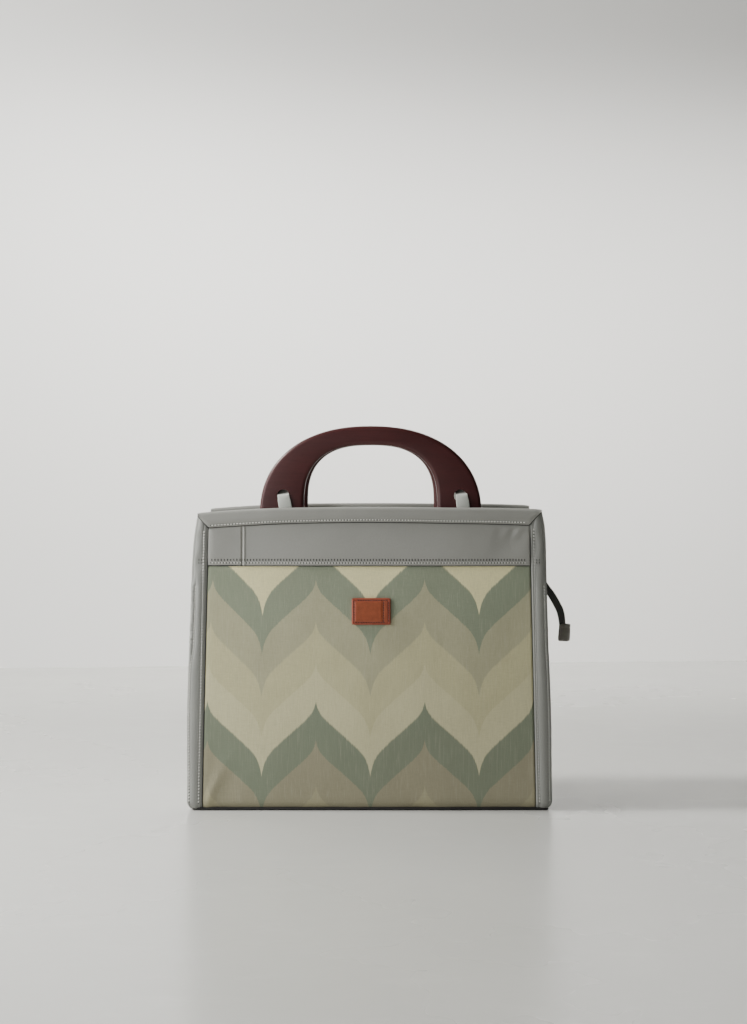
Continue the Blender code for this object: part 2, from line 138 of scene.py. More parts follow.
SIDE_ROW_TOP = 240.0

# Printed waves: half the repeat, the drop from crest to trough, the pull at the left, the stripes' crests
WAVE_HALF = 49.1
WAVE_SHIFT = -0.3
WAVE_DROP = 67.3
WAVE_PULL = 4.8
WAVE_CRESTS = (22.8, 63.6, 98.5, 133.0, 170.2, 208.1, 243.1)
WAVE_SHAPE = (
    # (share of the way across, share of the drop)
    (0.000, 0.000),
    (0.058, 0.132),
    (0.160, 0.226),
    (0.416, 0.397),
    (0.670, 0.566),
    (0.848, 0.698),
    (0.924, 0.792),
    (0.975, 0.906),
    (1.000, 1.000),
)

# Moulded end of the zip's tail, with a groove round it
CAP_TURN = -24.0
CAP_SECTIONS = (
    # (rise, width, thickness)
    (1.0, 8.0, 4.2), (0.5, 9.6, 5.4), (-0.4, 10.2, 6.0), (-2.6, 10.3, 6.2),
    (-3.1, 9.9, 5.7), (-3.6, 10.3, 6.2), (-8.0, 10.5, 6.3), (-12.6, 10.6, 6.3),
    (-14.4, 10.3, 6.0), (-15.1, 9.5, 5.3), (-15.4, 8.1, 4.3),
)

# Outline of the body: height share, half-width share
SIDE_OUTLINE = (
    (0.00, 1.000),
    (0.25, 0.998),
    (0.50, 0.989),
    (0.75, 0.974),
    (0.85, 0.966),
    (0.93, 0.955),
    (1.00, 0.935),
)

BAND_DENTS = (
    # (x, z, length, width, depth)
    (117.0, 251.0, 7.0, 4.0, 0.5),
    (129.0, 250.5, 6.0, 3.0, 0.7),
    (138.0, 248.0, 6.0, 3.0, 0.5),
)

# Way of the zip's tail: across and up as shares of the base's half width and of the body height, twist
TAIL_ROUTE = (
    (0.7990, 0.9180, 0.0),
    (0.8110, 0.9384, 0.0),
    (0.8350, 0.9478, 0.0),
    (0.8595, 0.9440, 0.0),
    (0.8720, 0.9254, 0.0),
    (0.8820, 0.8955, 0.0),
    (0.8957, 0.8580, 10.0),
    (0.9200, 0.8172, 30.0),
    (0.9600, 0.7680, 52.0),
    (1.0010, 0.7290, 62.0),
    (1.0290, 0.7050, 72.0),
    (1.0570, 0.6750, 82.0),
    (1.0800, 0.6430, 88.0),
    (1.0905, 0.6020, 90.0),
)


# Camera: level, at the photograph's height and distance
def make_camera():
    data = bpy.data.cameras.new("camera")
    data.sensor_fit = "VERTICAL"
    data.sensor_height = 36.0
    data.lens = 60.8
    data.shift_y = -57.0 / 1024.0
    data.clip_end = 50.0
    camera = add_object("camera", data)
    camera.location = (0.0026, -1.631, 0.321)
    camera.rotation_euler = (math.pi / 2, 0.0, 0.0)
    bpy.context.scene.camera = camera


# Numbers
def blend(low, high, share):
    return low + (high - low) * share


def smooth(low, high, value):
    share = min(max((value - low) / (high - low), 0.0), 1.0)
    return share * share * (3.0 - 2.0 * share)


def hump(distance, width):
    """A soft bump of height 1 at distance 0."""
    return math.exp(-(distance / width) ** 2)


def ripple(x, y, z, size, seed=0.0):
    """Smooth noise from about -1 to 1 with features of one size."""
    return noise.noise(Vector((x / size + seed, y / size + 1.7 * seed, z / size - seed)))


def even(count):
    return np.linspace(0.0, 1.0, count + 1)


def catmull(points, places):
    """Smooth curve through rows of numbers, read at fractional row places."""
    result = []
    last = len(points) - 1
    for place in places:
        k = min(int(place), last - 1)
        t = place - k
        a, b = points[max(k - 1, 0)], points[k]
        c, d = points[k + 1], points[min(k + 2, last)]
        square = (2 * a - 5 * b + 4 * c - d) * t * t
        cube = (3 * b - a - 3 * c + d) * t ** 3
        result.append(0.5 * (2 * b + (c - a) * t + square + cube))
    return np.array(result)


# Shape of the bag
OUTLINE_CURVE = np.polyfit(*np.array(SIDE_OUTLINE).T, 5)


def tuck(z):
    share = max(0.0, 1.0 - (z - WALL_BOTTOM) / TUCK_HEIGHT)
    return TUCK_DEPTH * share * share


def half_width(z):
    share = min(max(z / BODY_HEIGHT, 0.0), 1.0)
    return HALF_WIDTH * float(np.polyval(OUTLINE_CURVE, share)) - tuck(z)


def half_depth(z):
    return blend(HALF_DEPTH_BASE, HALF_DEPTH_TOP, z / BODY_HEIGHT) - tuck(z)


def seam_half_width(z):
    return blend(SEAM_HALF_WIDTH_BASE, SEAM_HALF_WIDTH_TOP, z / BODY_HEIGHT)


def face_depth(x, z):
    across = min(abs(x) / seam_half_width(z), 1.0)
    rise = min(max(z / RIM_SEAM, 0.0), 1.0)
    bulge = BULGE * math.cos(math.pi / 2 * across) * math.sin(math.pi * rise)
    return half_depth(z) + bulge


def rim_top(x):
    return RIM_TOP - RIM_ARCH * (abs(x) / RIM_HALF_WIDTH) ** 2.5


def rim_low(x):
    inner = RIM_SEAM - RIM_SEAM_ARCH * min(abs(x) / SEAM_HALF_WIDTH_TOP, 1.0) ** 2
    reach = (abs(x) - SEAM_HALF_WIDTH_TOP) / (RIM_HALF_WIDTH - SEAM_HALF_WIDTH_TOP)
    if reach <= 0.0:
        return inner
    return blend(inner, rim_top(RIM_HALF_WIDTH) - RIM_CORNER_LEG, min(reach, 1.0))


def gusset_top(y):
    corner = rim_low(RIM_HALF_WIDTH) - 0.3
    return corner - GUSSET_DIP * (1.0 - (abs(y) / HALF_DEPTH_TOP) ** 2)


def gusset_x(y, z):
    reach = half_depth(z) - STRIP_SIDE_LEG
    share = math.sqrt(min(abs(y) / reach, 1.0) ** 2 + 0.02) / math.sqrt(1.02)
    fold = GUSSET_FOLD * (max(z, 0.0) / BODY_HEIGHT) ** 1.5
    return half_width(z) - GUSSET_SET_BACK - fold * (1.0 - math.sin(math.pi / 2 * share))


SLUMP_HEIGHTS = (0.0, 20.0, 80.0, 145.0, 205.0, 225.0, 258.0)
SLUMP_RIGHT = (-1.1, -1.2, -2.0, -2.4, -1.8, -1.3, 0.8)
SLUMP_PLACES = (-166.0, -149.0, -100.0, 100.0, 148.0)
SLUMP_ACROSS = (-0.7, -2.3, 0.0, 0.0, -0.9)
CORNER_PLACES = (-150.0, -90.0, 70.0, 150.0)
CORNER_LIFT = (-1.2, 0.0, 0.0, 2.0)


def settle(points):
    """The body slumps: its left seam and right side move left, its rim tips, its walls meet the floor."""
    x, z = points[:, 0].copy(), points[:, 2].copy()
    side = np.clip((x - 148.0) / 13.0, 0.0, 1.0)
    right = np.interp(z, SLUMP_HEIGHTS, SLUMP_RIGHT)
    points[:, 0] += np.interp(x, SLUMP_PLACES, SLUMP_ACROSS) * (1.0 - side) + right * side
    high = np.clip((z - 235.0) / 25.0, 0.0, 1.0)
    points[:, 2] += np.interp(x, CORNER_PLACES, CORNER_LIFT) * high
    low = np.clip(1.0 - z / 40.0, 0.0, 1.0)
    points[:, 2] -= np.interp(x, (-160.0, 160.0), (1.9, 1.5)) * low * low


# Pieces from points
def add_object(name, data):
    made = bpy.data.objects.new(name, data)
    bpy.context.scene.collection.objects.link(made)
    return made


def add_piece(name, mesh, material, replaced=()):
    mesh.materials.clear()
    mesh.materials.append(material)
    piece = add_object(name, mesh)
    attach(piece, "root")
    if replaced:
        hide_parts(*replaced)
    return piece


def add_mesh(name, points, faces, material, replaced=(), sharp=40.0, body=True):
    mesh = bpy.data.meshes.new(name)
    points = np.array(points, dtype=float).reshape(-1, 3)
    if body:
        settle(points)
    mesh.from_pydata((points * MM).tolist(), [], faces)
    mesh.update()
    mesh.shade_smooth()
    mesh.set_sharp_from_angle(angle=math.radians(sharp))
    return add_piece(name, mesh, material, replaced)


def grid_faces(rows, columns, closed=False):
    """Quads between rows of points; closed joins each row's last point to its first."""
    faces = []
    for i in range(rows - 1):
        for j in range(columns if closed else columns - 1):
            a = i * columns + j
            b = i * columns + (j + 1) % columns
            faces.append((a, b, b + columns, a + columns))
    return faces


def face_outward(mesh):
    bm = bmesh.new()
    bm.from_mesh(mesh)
    bmesh.ops.recalc_face_normals(bm, faces=bm.faces)
    bm.to_mesh(mesh)
    bm.free()


def sheet(name, across, up, place, thickness, outward, material, replaced):
    """A wall set out by place(u, v) over shares across and up, thickened inward."""
    points = np.array([place(u, v) for v in up for u in across])
    columns = len(across)
    faces = grid_faces(len(up), columns)
    middle = (len(up) // 2) * columns + columns // 2
    a, b, c = points[middle], points[middle + 1], points[middle + columns]
    if np.dot(np.cross(b - a, c - a), np.array(outward)) < 0.0:
        faces = [face[::-1] for face in faces]
    piece = add_mesh(name, points, faces, material, replaced)
    solid = piece.modifiers.new("thickness", "SOLIDIFY")
    solid.thickness = thickness * MM
    solid.offset = -1.0
    return piece


def loft(name, rings, material, replaced=(), loop=False, body=True):
    """A skin over closed rings of points, with flat ends or joined end to end."""
    rings = np.array(rings)
    count, size = rings.shape[:2]
    faces = grid_faces(count, size, closed=True)
    last = (count - 1) * size
    if loop:
        faces += [(last + j, last + (j + 1) % size, (j + 1) % size, j) for j in range(size)]
    else:
        faces.append(tuple(range(size))[::-1])
        faces.append(tuple(range(last, last + size)))
    piece = add_mesh(name, rings, faces, material, replaced, body=body)
    face_outward(piece.data)
    return piece


def quarter(centre, radius, start, steps):
    """Points of a quarter turn that begins at an angle in degrees."""
    angles = [math.radians(start + 90.0 * k / steps) for k in range(steps + 1)]
    return [(centre[0] + radius * math.cos(a), centre[1] + radius * math.sin(a)) for a in angles]


def rounded_section(width, thick, corner, steps=4):
    """Closed rounded rectangle as (across, through)."""
    outline = []
    for across, through, start in ((1, 1, 0), (-1, 1, 90), (-1, -1, 180), (1, -1, 270)):
        centre = (across * (width / 2 - corner), through * (thick / 2 - corner))
        outline += quarter(centre, corner, start, steps)
    return outline


def rounded_box(name, size, centre, edge, material, replaced):
    bm = bmesh.new()
    bmesh.ops.create_cube(bm, size=1.0)
    bmesh.ops.scale(bm, vec=Vector(size) * MM, verts=bm.verts)
    bmesh.ops.bevel(bm, geom=bm.edges[:], offset=edge * MM, segments=4, profile=0.5, affect="EDGES")
    bmesh.ops.translate(bm, vec=Vector(centre) * MM, verts=bm.verts)
    mesh = bpy.data.meshes.new(name)
    bm.to_mesh(mesh)
    bm.free()
    mesh.shade_smooth()
    return add_piece(name, mesh, material, replaced)


def seam_shade_line(name, path, radius, outward):
    """A thin dark tube along a seam: painted shade in the gap between the pieces."""
    path = np.array(path, dtype=float)
    outward = np.array(outward, dtype=float)
    rings = []
    for k in range(len(path)):
        along = path[min(k + 1, len(path) - 1)] - path[max(k - 1, 0)]
        side = np.cross(outward, along)
        side /= np.linalg.norm(side)
        turns = [math.tau * j / 6 for j in range(6)]
        rings.append([path[k] + radius * (side * math.cos(t) + outward * math.sin(t)) for t in turns])
    return loft(name, rings, painted_shade)


def capsule():
    """One stitch of length and radius 1 along X: its points and faces."""
    turns = [math.tau * k / 6 for k in range(6)]
    ends = ((-0.5, 0.35), (-0.34, 0.95), (0.34, 0.95), (0.5, 0.35))
    rings = [[(x, r * math.cos(t), r * math.sin(t)) for t in turns] for x, r in ends]
    faces = grid_faces(4, 6, closed=True)
    faces.append((5, 4, 3, 2, 1, 0))
    faces.append((18, 19, 20, 21, 22, 23))
    return np.array(rings).reshape(-1, 3), faces


STITCH_POINTS, STITCH_FACES = capsule()


def unit(rows):
    return rows / np.linalg.norm(rows, axis=1)[:, None]


def stitch_row(name, path, outward, size, material, slant=0.0, start=0.5, pitch=STITCH_PITCH):
    """Stitches laid along a path, half sunk in the surface, each turned by slant in it."""
    path = np.array(path, dtype=float)
    steps = np.linalg.norm(np.diff(path, axis=0), axis=1)
    run = np.concatenate(([0.0], np.cumsum(steps)))
    outward = np.broadcast_to(np.array(outward, dtype=float), path.shape)
    places = (np.arange(max(int(run[-1] / pitch), 1)) + start) * pitch

    def at(rows, where):
        return np.column_stack([np.interp(where, run, rows[:, c]) for c in range(3)])

    along = unit(at(path, places + 1.0) - at(path, places - 1.0))
    side = unit(np.cross(at(outward, places), along))
    out = np.cross(along, side)
    heading = along * math.cos(slant) + side * math.sin(slant)
    across = np.cross(out, heading)
    length, radius = size
    vary = np.array([1.0 + 0.2 * ripple(place, run[-1], 0.0, 3.7) for place in places])
    same = np.ones_like(vary)
    local = STITCH_POINTS[None] * np.array([length, radius, radius * 0.8])
    local = local * np.column_stack((vary, same, same))[:, None]
    points = at(path, places)[:, None] + local[..., :1] * heading[:, None]
    points = points + local[..., 1:2] * across[:, None] + local[..., 2:] * out[:, None]
    count = len(STITCH_POINTS)
    faces = [tuple(k * count + i for i in face) for k in range(len(places)) for face in STITCH_FACES]
    return add_mesh(name, points, faces, material, sharp=80.0)


def ticks(name, path, outward, size, start=0.0):
    """A row of dark marks set across the path: painted shade of needle holes."""
    stitch_row(name, path, outward, size, painted_shade, math.pi / 2, start)


def sew(name, path, outward, slant=0.0, size=LIGHT_STITCH):
    """A topstitched row: light stitches with dark marks between them, painted shade of the needle holes."""
    stitch_row(name, path, outward, size, light_thread, slant)
    ticks(name + "_hole_shade", path, outward, HOLE_TICK)


# Materials
class Look:
    """A Principled material with short ways to add nodes."""

    def __init__(self, name, colour, roughness, **sockets):
        self.material = bpy.data.materials.new(name)
        self.material.use_nodes = True
        self.tree = self.material.node_tree
        self.shader = self.tree.nodes["Principled BSDF"]
        self.shader.inputs["Base Color"].default_value = (*colour, 1.0)
        self.shader.inputs["Roughness"].default_value = roughness
        for socket, value in sockets.items():
            self.shader.inputs[socket.replace("_", " ")].default_value = value
        self.place = self.tree.nodes.new("ShaderNodeTexCoord").outputs["Object"]

    def node(self, kind, inputs=(), **settings):
        made = self.tree.nodes.new("ShaderNode" + kind)
        for key, value in settings.items():
            setattr(made, key, value)
        for key, value in dict(inputs).items():
            self.put(value, made.inputs[key])
        return made

    def put(self, value, socket):
        if isinstance(value, bpy.types.NodeSocket):
            self.tree.links.new(value, socket)
        else:
            socket.default_value = value

    def math(self, operation, a, b=0.0, c=0.0):
        return self.node("Math", {0: a, 1: b, 2: c}, operation=operation).outputs[0]

    def stretched(self, scale):
        return self.node("Mapping", {"Vector": self.place, "Scale": scale}).outputs[0]

    def grain(self, scale, detail=3.0, rough=0.5, stretch=(1.0, 1.0, 1.0)):
        inputs = {"Vector": self.stretched(stretch), "Scale": scale, "Detail": detail, "Roughness": rough}
        return self.node("TexNoise", inputs).outputs["Fac"]

    def cells(self, scale):
        return self.node("TexVoronoi", {"Vector": self.place, "Scale": scale}).outputs["Distance"]

    def mix(self, factor, a, b):
        made = self.tree.nodes.new("ShaderNodeMix")
        made.data_type = "RGBA"
        self.put(factor, made.inputs[0])
        self.put(a, made.inputs[6])
        self.put(b, made.inputs[7])
        return made.outputs[2]

    def spread(self, value, low, high, to_low=0.0, to_high=1.0):
        inputs = {"Value": value, "From Min": low, "From Max": high, "To Min": to_low, "To Max": to_high}
        return self.node("MapRange", inputs).outputs[0]

    def bump(self, height, distance, strength=1.0, previous=None):
        inputs = {"Height": height, "Distance": distance, "Strength": strength}
        if previous is not None:
            inputs["Normal"] = previous
        return self.node("Bump", inputs).outputs[0]

    def finish(self, colour=None, roughness=None, normal=None):
        for value, socket in ((colour, "Base Color"), (roughness, "Roughness"), (normal, "Normal")):
            if value is not None:
                self.put(value, self.shader.inputs[socket])
        return self.material


def rgb(red, green, blue):
    """Linear colour from the 0 to 255 values of a picture."""
    return tuple(((c / 255.0 + 0.055) / 1.055) ** 2.4 for c in (red, green, blue))


def shade(colour, factor):
    return (*(min(c * factor, 1.0) for c in colour), 1.0)


def leather(name, colour, roughness=0.5, grain=1.0):
    """Fine-grained leatherette with faint cloudy variation."""
    look = Look(name, colour, roughness, Specular_IOR_Level=0.5)
    cloud = look.grain(14.0, 4.0, 0.6)
    fine = look.grain(900.0, 3.0, 0.6)
    pores = look.cells(1500.0)
    crease = look.grain(160.0, 5.0, 0.65)
    tone = look.mix(look.spread(cloud, 0.3, 0.7), shade(colour, 0.94), shade(colour, 1.06))
    tone = look.mix(look.spread(fine, 0.35, 0.65, 0.0, 0.35), tone, shade(colour, 0.86))
    rough = look.spread(crease, 0.3, 0.7, roughness - 0.07, roughness + 0.08)
    normal = look.bump(pores, 0.00012 * grain, 0.35)
    normal = look.bump(crease, 0.00035 * grain, 0.3, normal)
    return look.finish(tone, rough, normal)


def plain(name, colour, roughness, scale=400.0, depth=0.0001, vary=0.1, **sockets):
    """A plain finish with faint mottling."""
    look = Look(name, colour, roughness, **sockets)
    fine = look.grain(scale, 4.0, 0.6)
    tone = look.mix(look.spread(fine, 0.3, 0.7), shade(colour, 1.0 - vary), shade(colour, 1.0 + vary))
    rough = look.spread(fine, 0.3, 0.7, roughness - 0.05, roughness + 0.06)
    return look.finish(tone, rough, look.bump(fine, depth, 0.5))


def thread(name, colour):
    look = Look(name, colour, 0.7, Sheen_Weight=0.2)
    twist = look.grain(2600.0, 2.0, 0.5)
    tone = look.mix(look.spread(twist, 0.35, 0.65), shade(colour, 0.8), shade(colour, 1.1))
    return look.finish(tone, None, look.bump(twist, 0.0002, 0.6))


GREEN = rgb(139, 148, 126)
TAUPE = rgb(177, 174, 143)
BEIGE = rgb(199, 194, 153)
CREAM = rgb(209, 204, 164)
PALE = rgb(239, 232, 179)
LOW_GREEN = rgb(125, 134, 114)
LOW_TAUPE = rgb(154, 149, 124)
LOWEST = rgb(168, 162, 132)
STRIPES = (LOWEST, LOW_TAUPE, LOW_GREEN, CREAM, BEIGE, TAUPE, GREEN, PALE)


def printed_cloth():
    """Woven cloth with printed waves, computed from the place on the face."""
    look = Look("printed_cloth", CREAM, 0.8, Sheen_Weight=0.1, Specular_IOR_Level=0.3)
    split = look.node("SeparateXYZ", {0: look.place})
    across, up = split.outputs[0], split.outputs[2]
    near_left = look.spread(across, -0.085, -0.140, 0.0, WAVE_PULL * MM)
    pull = look.math("MULTIPLY", near_left, look.spread(up, 0.11, 0.20))
    slide = look.math("ADD", look.math("SUBTRACT", across, pull), (WAVE_HALF - WAVE_SHIFT) * MM)
    share = look.math("DIVIDE", look.math("PINGPONG", slide, WAVE_HALF * MM), WAVE_HALF * MM)
    curve = look.node("FloatCurve", {"Value": share})
    points = curve.mapping.curves[0].points
    while len(points) < len(WAVE_SHAPE):
        points.new(0.5, 0.5)
    for point, place in zip(points, WAVE_SHAPE):
        point.location = place
        point.handle_type = "AUTO"
    curve.mapping.update()
    drop = look.math("MULTIPLY", curve.outputs[0], WAVE_DROP * MM)
    slub = look.grain(1.0, 2.0, 0.6, (1300.0, 1300.0, 28.0))
    jag = look.math("MULTIPLY", look.math("SUBTRACT", slub, 0.5), 0.0035)
    level = look.math("ADD", look.math("ADD", up, drop), jag)
    ramp = look.node("ValToRGB", {"Fac": look.math("DIVIDE", level, RIM_TOP * MM)})
    stops = ramp.color_ramp.elements
    soft = 0.0016
    places = []
    for crest, below, above in zip(WAVE_CRESTS, STRIPES, STRIPES[1:]):
        places.append((crest / RIM_TOP - soft, below))
        places.append((crest / RIM_TOP + soft, above))
    while len(stops) < len(places):
        stops.new(0.5)
    for stop, (place, colour) in zip(stops, places):
        stop.position = place
        stop.color = (*colour, 1.0)
    warp = look.grain(1.0, 3.0, 0.7, (2400.0, 2400.0, 80.0))
    weft = look.grain(1.0, 2.0, 0.6, (180.0, 180.0, 2600.0))
    weave = look.spread(look.math("ADD", warp, look.math("MULTIPLY", weft, 0.6)), 0.55, 1.05)
    tone = look.mix(look.math("MULTIPLY", weave, 0.26), ramp.outputs[0], (0.10, 0.10, 0.07, 1.0))
    tone = look.mix(look.spread(slub, 0.55, 0.8, 0.0, 0.20), tone, (0.62, 0.60, 0.46, 1.0))
    cloud = look.spread(look.grain(9.0, 3.0, 0.5), 0.35, 0.7, 0.0, 0.12)
    tone = look.mix(cloud, tone, (0.27, 0.24, 0.17, 1.0))
    # The cloth gets darker over its lowest 12 mm, most at 2 mm from the bottom
    darker_near_bottom = look.spread(up, 0.012, 0.002, 0.0, 0.25)
    tone = look.mix(darker_near_bottom, tone, (0.10, 0.085, 0.05, 1.0))
    normal = look.bump(warp, 0.00030, 0.5)
    normal = look.bump(weft, 0.00018, 0.4, normal)
    return look.finish(tone, None, normal)


def wood():
    """Dark red stained wood under satin varnish."""
    colour = rgb(70, 32, 32)
    look = Look("handle_wood", colour, 0.40, Specular_IOR_Level=0.32, Coat_Weight=0.12, Coat_Roughness=0.2)
    flow = look.grain(14.0, 3.0, 0.5, (1.0, 1.0, 2.2))
    fibre = look.grain(1.0, 4.0, 0.65, (60.0, 700.0, 900.0))
    pores = look.grain(1.0, 2.0, 0.5, (220.0, 2600.0, 2600.0))
    tone = look.mix(look.spread(flow, 0.3, 0.7), shade(colour, 0.78), shade(colour, 1.2))
    tone = look.mix(look.spread(fibre, 0.4, 0.7, 0.0, 0.3), tone, shade(colour, 0.6))
    tone = look.mix(look.spread(pores, 0.64, 0.75, 0.0, 0.4), tone, shade(colour, 0.4))
    rough = look.spread(fibre, 0.3, 0.7, 0.36, 0.46)
    return look.finish(tone, rough, look.bump(fibre, 0.00008, 0.3))


def tan_leather():
    """Tan leather, darker and redder towards the sewn border."""
    colour = rgb(144, 72, 43)
    look = Look("label_leather", colour, 0.5, Specular_IOR_Level=0.35)
    split = look.node("SeparateXYZ", {0: look.place})
    across = look.math("ABSOLUTE", look.math("SUBTRACT", split.outputs[0], LABEL_X * MM))
    rise = look.math("ABSOLUTE", look.math("SUBTRACT", split.outputs[2], LABEL_Z * MM))
    border = look.math("MAXIMUM", look.spread(across, 0.0130, 0.0150), look.spread(rise, 0.0080, 0.0098))
    mottle = look.grain(260.0, 4.0, 0.65)
    tone = look.mix(look.spread(mottle, 0.3, 0.7), shade(colour, 0.8), shade(colour, 1.15))
    tone = look.mix(look.math("MULTIPLY", border, 0.6), tone, (*rgb(140, 66, 52), 1.0))
    normal = look.bump(look.cells(1400.0), 0.00015, 0.4)
    return look.finish(tone, None, look.bump(mottle, 0.0004, 0.35, normal))


def zip_weave():
    colour = rgb(52, 50, 47)
    look = Look("zip_weave", colour, 0.8, Sheen_Weight=0.2)
    rib = look.node("TexWave", {"Vector": look.place, "Scale": 420.0, "Distortion": 1.0}).outputs["Fac"]
    tone = look.mix(rib, shade(colour, 0.6), shade(colour, 1.2))
    return look.finish(tone, None, look.bump(rib, 0.0003, 0.6))


def floor_finish():
    """Pale sealed concrete with a soft gloss."""
    colour = (0.48, 0.48, 0.455)
    look = Look("floor_finish", colour, 0.24, Specular_IOR_Level=0.28)
    broad = look.grain(1.6, 5.0, 0.6)
    streak = look.grain(9.0, 6.0, 0.7, (1.0, 2.6, 1.0))
    speck = look.grain(45.0, 6.0, 0.7)
    tone = look.mix(look.spread(broad, 0.3, 0.7), shade(colour, 0.96), shade(colour, 1.04))
    tone = look.mix(look.spread(speck, 0.35, 0.65, 0.0, 0.25), tone, shade(colour, 0.93))
    tone = look.mix(look.spread(streak, 0.56, 0.66, 0.0, 0.3), tone, shade(colour, 1.12))
    rough = look.spread(broad, 0.3, 0.7, 0.20, 0.32)
    return look.finish(tone, rough, look.bump(speck, 0.0004, 0.12))


band_leather = leather("band_leather", rgb(148, 148, 142), 0.36)
rim_leather = leather("rim_leather", rgb(144, 144, 138), 0.42)
edge_leather = leather("edge_leather", rgb(138, 139, 134), 0.42, 1.5)
side_leather = leather("side_leather", rgb(142, 142, 136), 0.48, 1.2)
strap_leather = leather("strap_leather", rgb(204, 207, 198), 0.5)
label_leather = tan_leather()
cloth = printed_cloth()
handle_wood = wood()
tape_weave = zip_weave()
light_thread = thread("light_thread", rgb(245, 245, 236))
# Near-black material for painted shade: the shade in needle holes and in the gaps of seams
painted_shade = thread("painted_shade", rgb(34, 34, 31))
label_thread = thread("label_thread", rgb(52, 18, 10))
charcoal_strap = plain("charcoal_strap", rgb(66, 66, 62), 0.6, 900.0, 0.0002)
charcoal_moulded = plain("charcoal_moulded", rgb(152, 148, 141), 0.42)
base_finish = plain("base_finish", rgb(34, 33, 31), 0.7)
zip_metal = plain("zip_metal", rgb(150, 148, 144), 0.32, 700.0, 0.00004, Metallic=1.0)


# Cloth, band and rim of each face
def cloth_relief(x, z, side):
    """How far the cloth stands out from its plain form, in mm."""
    seam = max(seam_half_width(z) - abs(x), 0.0)
    low = math.exp(-max(z - 4.0, 0.0) / 12.0)
    edge = EDGE_DIP[LEFT if x < 0.0 else RIGHT]
    dip = -edge * math.exp(-seam / 1.8) - 0.9 * math.exp(-max(BAND_BOTTOM - z, 0.0) / 2.0) - 0.6 * low
    sway = 0.55 * ripple(x, side * 40.0, z, 70.0, 2.0) + 0.20 * ripple(x, side * 40.0, z, 24.0, 5.0)
    pucker = low * (0.7 * ripple(x, 0.0, z * 0.4, 26.0, 3.0) + 0.3 * ripple(x, 0.0, z * 0.3, 12.0, 8.0))
    if side == FRONT:
        slide = (x - FOLD_X) * 0.91 - (z - FOLD_Z) * 0.41
        fold = 1.5 * hump(slide, 5.0) - 0.5 * hump(slide + 10.0, 6.0) - 0.6 * hump(slide - 11.0, 7.0)
        pucker += hump(max(z - 14.0, 0.0), 22.0) * fold
    return dip + (sway + pucker) * min(seam / 5.0, 1.0)


def band_relief(x, z, side):
    """Dents and the sewn overlap of the leatherette band, in mm."""
    low = rim_low(x)
    dip = -1.1 * math.exp(-max(low - z, 0.0) / 1.8)
    dip -= 0.7 * math.exp(-max(z - BAND_BOTTOM, 0.0) / 0.8)
    dip -= EDGE_DIP[LEFT if x < 0.0 else RIGHT] * math.exp(-max(seam_half_width(z) - abs(x), 0.0) / 1.6)
    for row in BAND_ROWS:
        dip -= 0.35 * hump(z - BAND_BOTTOM - row, 1.0)
    sway = 0.45 * ripple(x, side * 10.0, z, 50.0, 4.0)
    if side == FRONT:
        inside = smooth(low, low - 6.0, z) * smooth(BAND_BOTTOM, BAND_BOTTOM + 8.0, z)
        step = smooth(BAND_TUCK_X - 0.5, BAND_TUCK_X + 0.5, x)
        tucked = -0.9 * (1.0 - step) * smooth(-150.0, -118.0, x) - 1.1 * hump(x - BAND_TUCK_X + 0.7, 0.7)
        sway += (tucked + 0.7 * hump(x - BAND_TUCK_X - 1.3, 0.9)) * smooth(low + 1.0, low - 3.0, z)
        for across, rise, run, wide, deep in BAND_DENTS:
            slope = (x - across) * 0.75 - (z - rise) * 0.66
            along = (x - across) * 0.66 + (z - rise) * 0.75
            sway -= inside * deep * hump(slope, wide) * hump(along, run)
            sway += inside * deep * 0.7 * hump(slope + 1.6 * wide, wide) * hump(along, run)
        sway += inside * 0.9 * ripple(x, 0.0, z, 21.0, 11.0) * smooth(85.0, 115.0, x)
    return dip + sway


def make_face(side, label):
    outward = (0.0, side, 0.0)

    def cloth_place(u, v):
        z = blend(WALL_BOTTOM, BAND_BOTTOM - 0.3, v ** 1.15)
        x = (2 * u - 1) * (seam_half_width(z) - 0.2)
        return x, side * (face_depth(x, z) + cloth_relief(x, z, side)), z

    def band_place(u, v):
        share = 2 * u - 1
        z = blend(BAND_BOTTOM + 0.1, rim_low(share * SEAM_HALF_WIDTH_TOP) + 2.0, v)
        x = share * (seam_half_width(z) - 0.2)
        return x, side * (face_depth(x, z) + BAND_PROUD + band_relief(x, z, side)), z

    tuck_share = (BAND_TUCK_X / seam_half_width(BAND_BOTTOM) + 1.0) / 2.0
    fine = np.linspace(tuck_share - 0.012, tuck_share + 0.016, 30)
    band_across = np.unique(np.concatenate((even(200), fine)))
    sheet(label + "_cloth", even(160), even(130), cloth_place, CLOTH_THICKNESS, outward, cloth,
          [label + "_fabric_panel"])
    sheet(label + "_band", band_across, even(60), band_place, CLOTH_THICKNESS, outward, band_leather,
          [label + "_top_band"])
    make_rim(side, label)
    make_face_sewing(side, label)


def rim_roll(x):
    """How far the rim's roll stands out beyond its plain form at one place."""
    return 0.35 * ripple(x, 0.0, 0.0, 55.0, 6.0) + 0.15 * ripple(x, 0.0, 0.0, 17.0, 1.0)


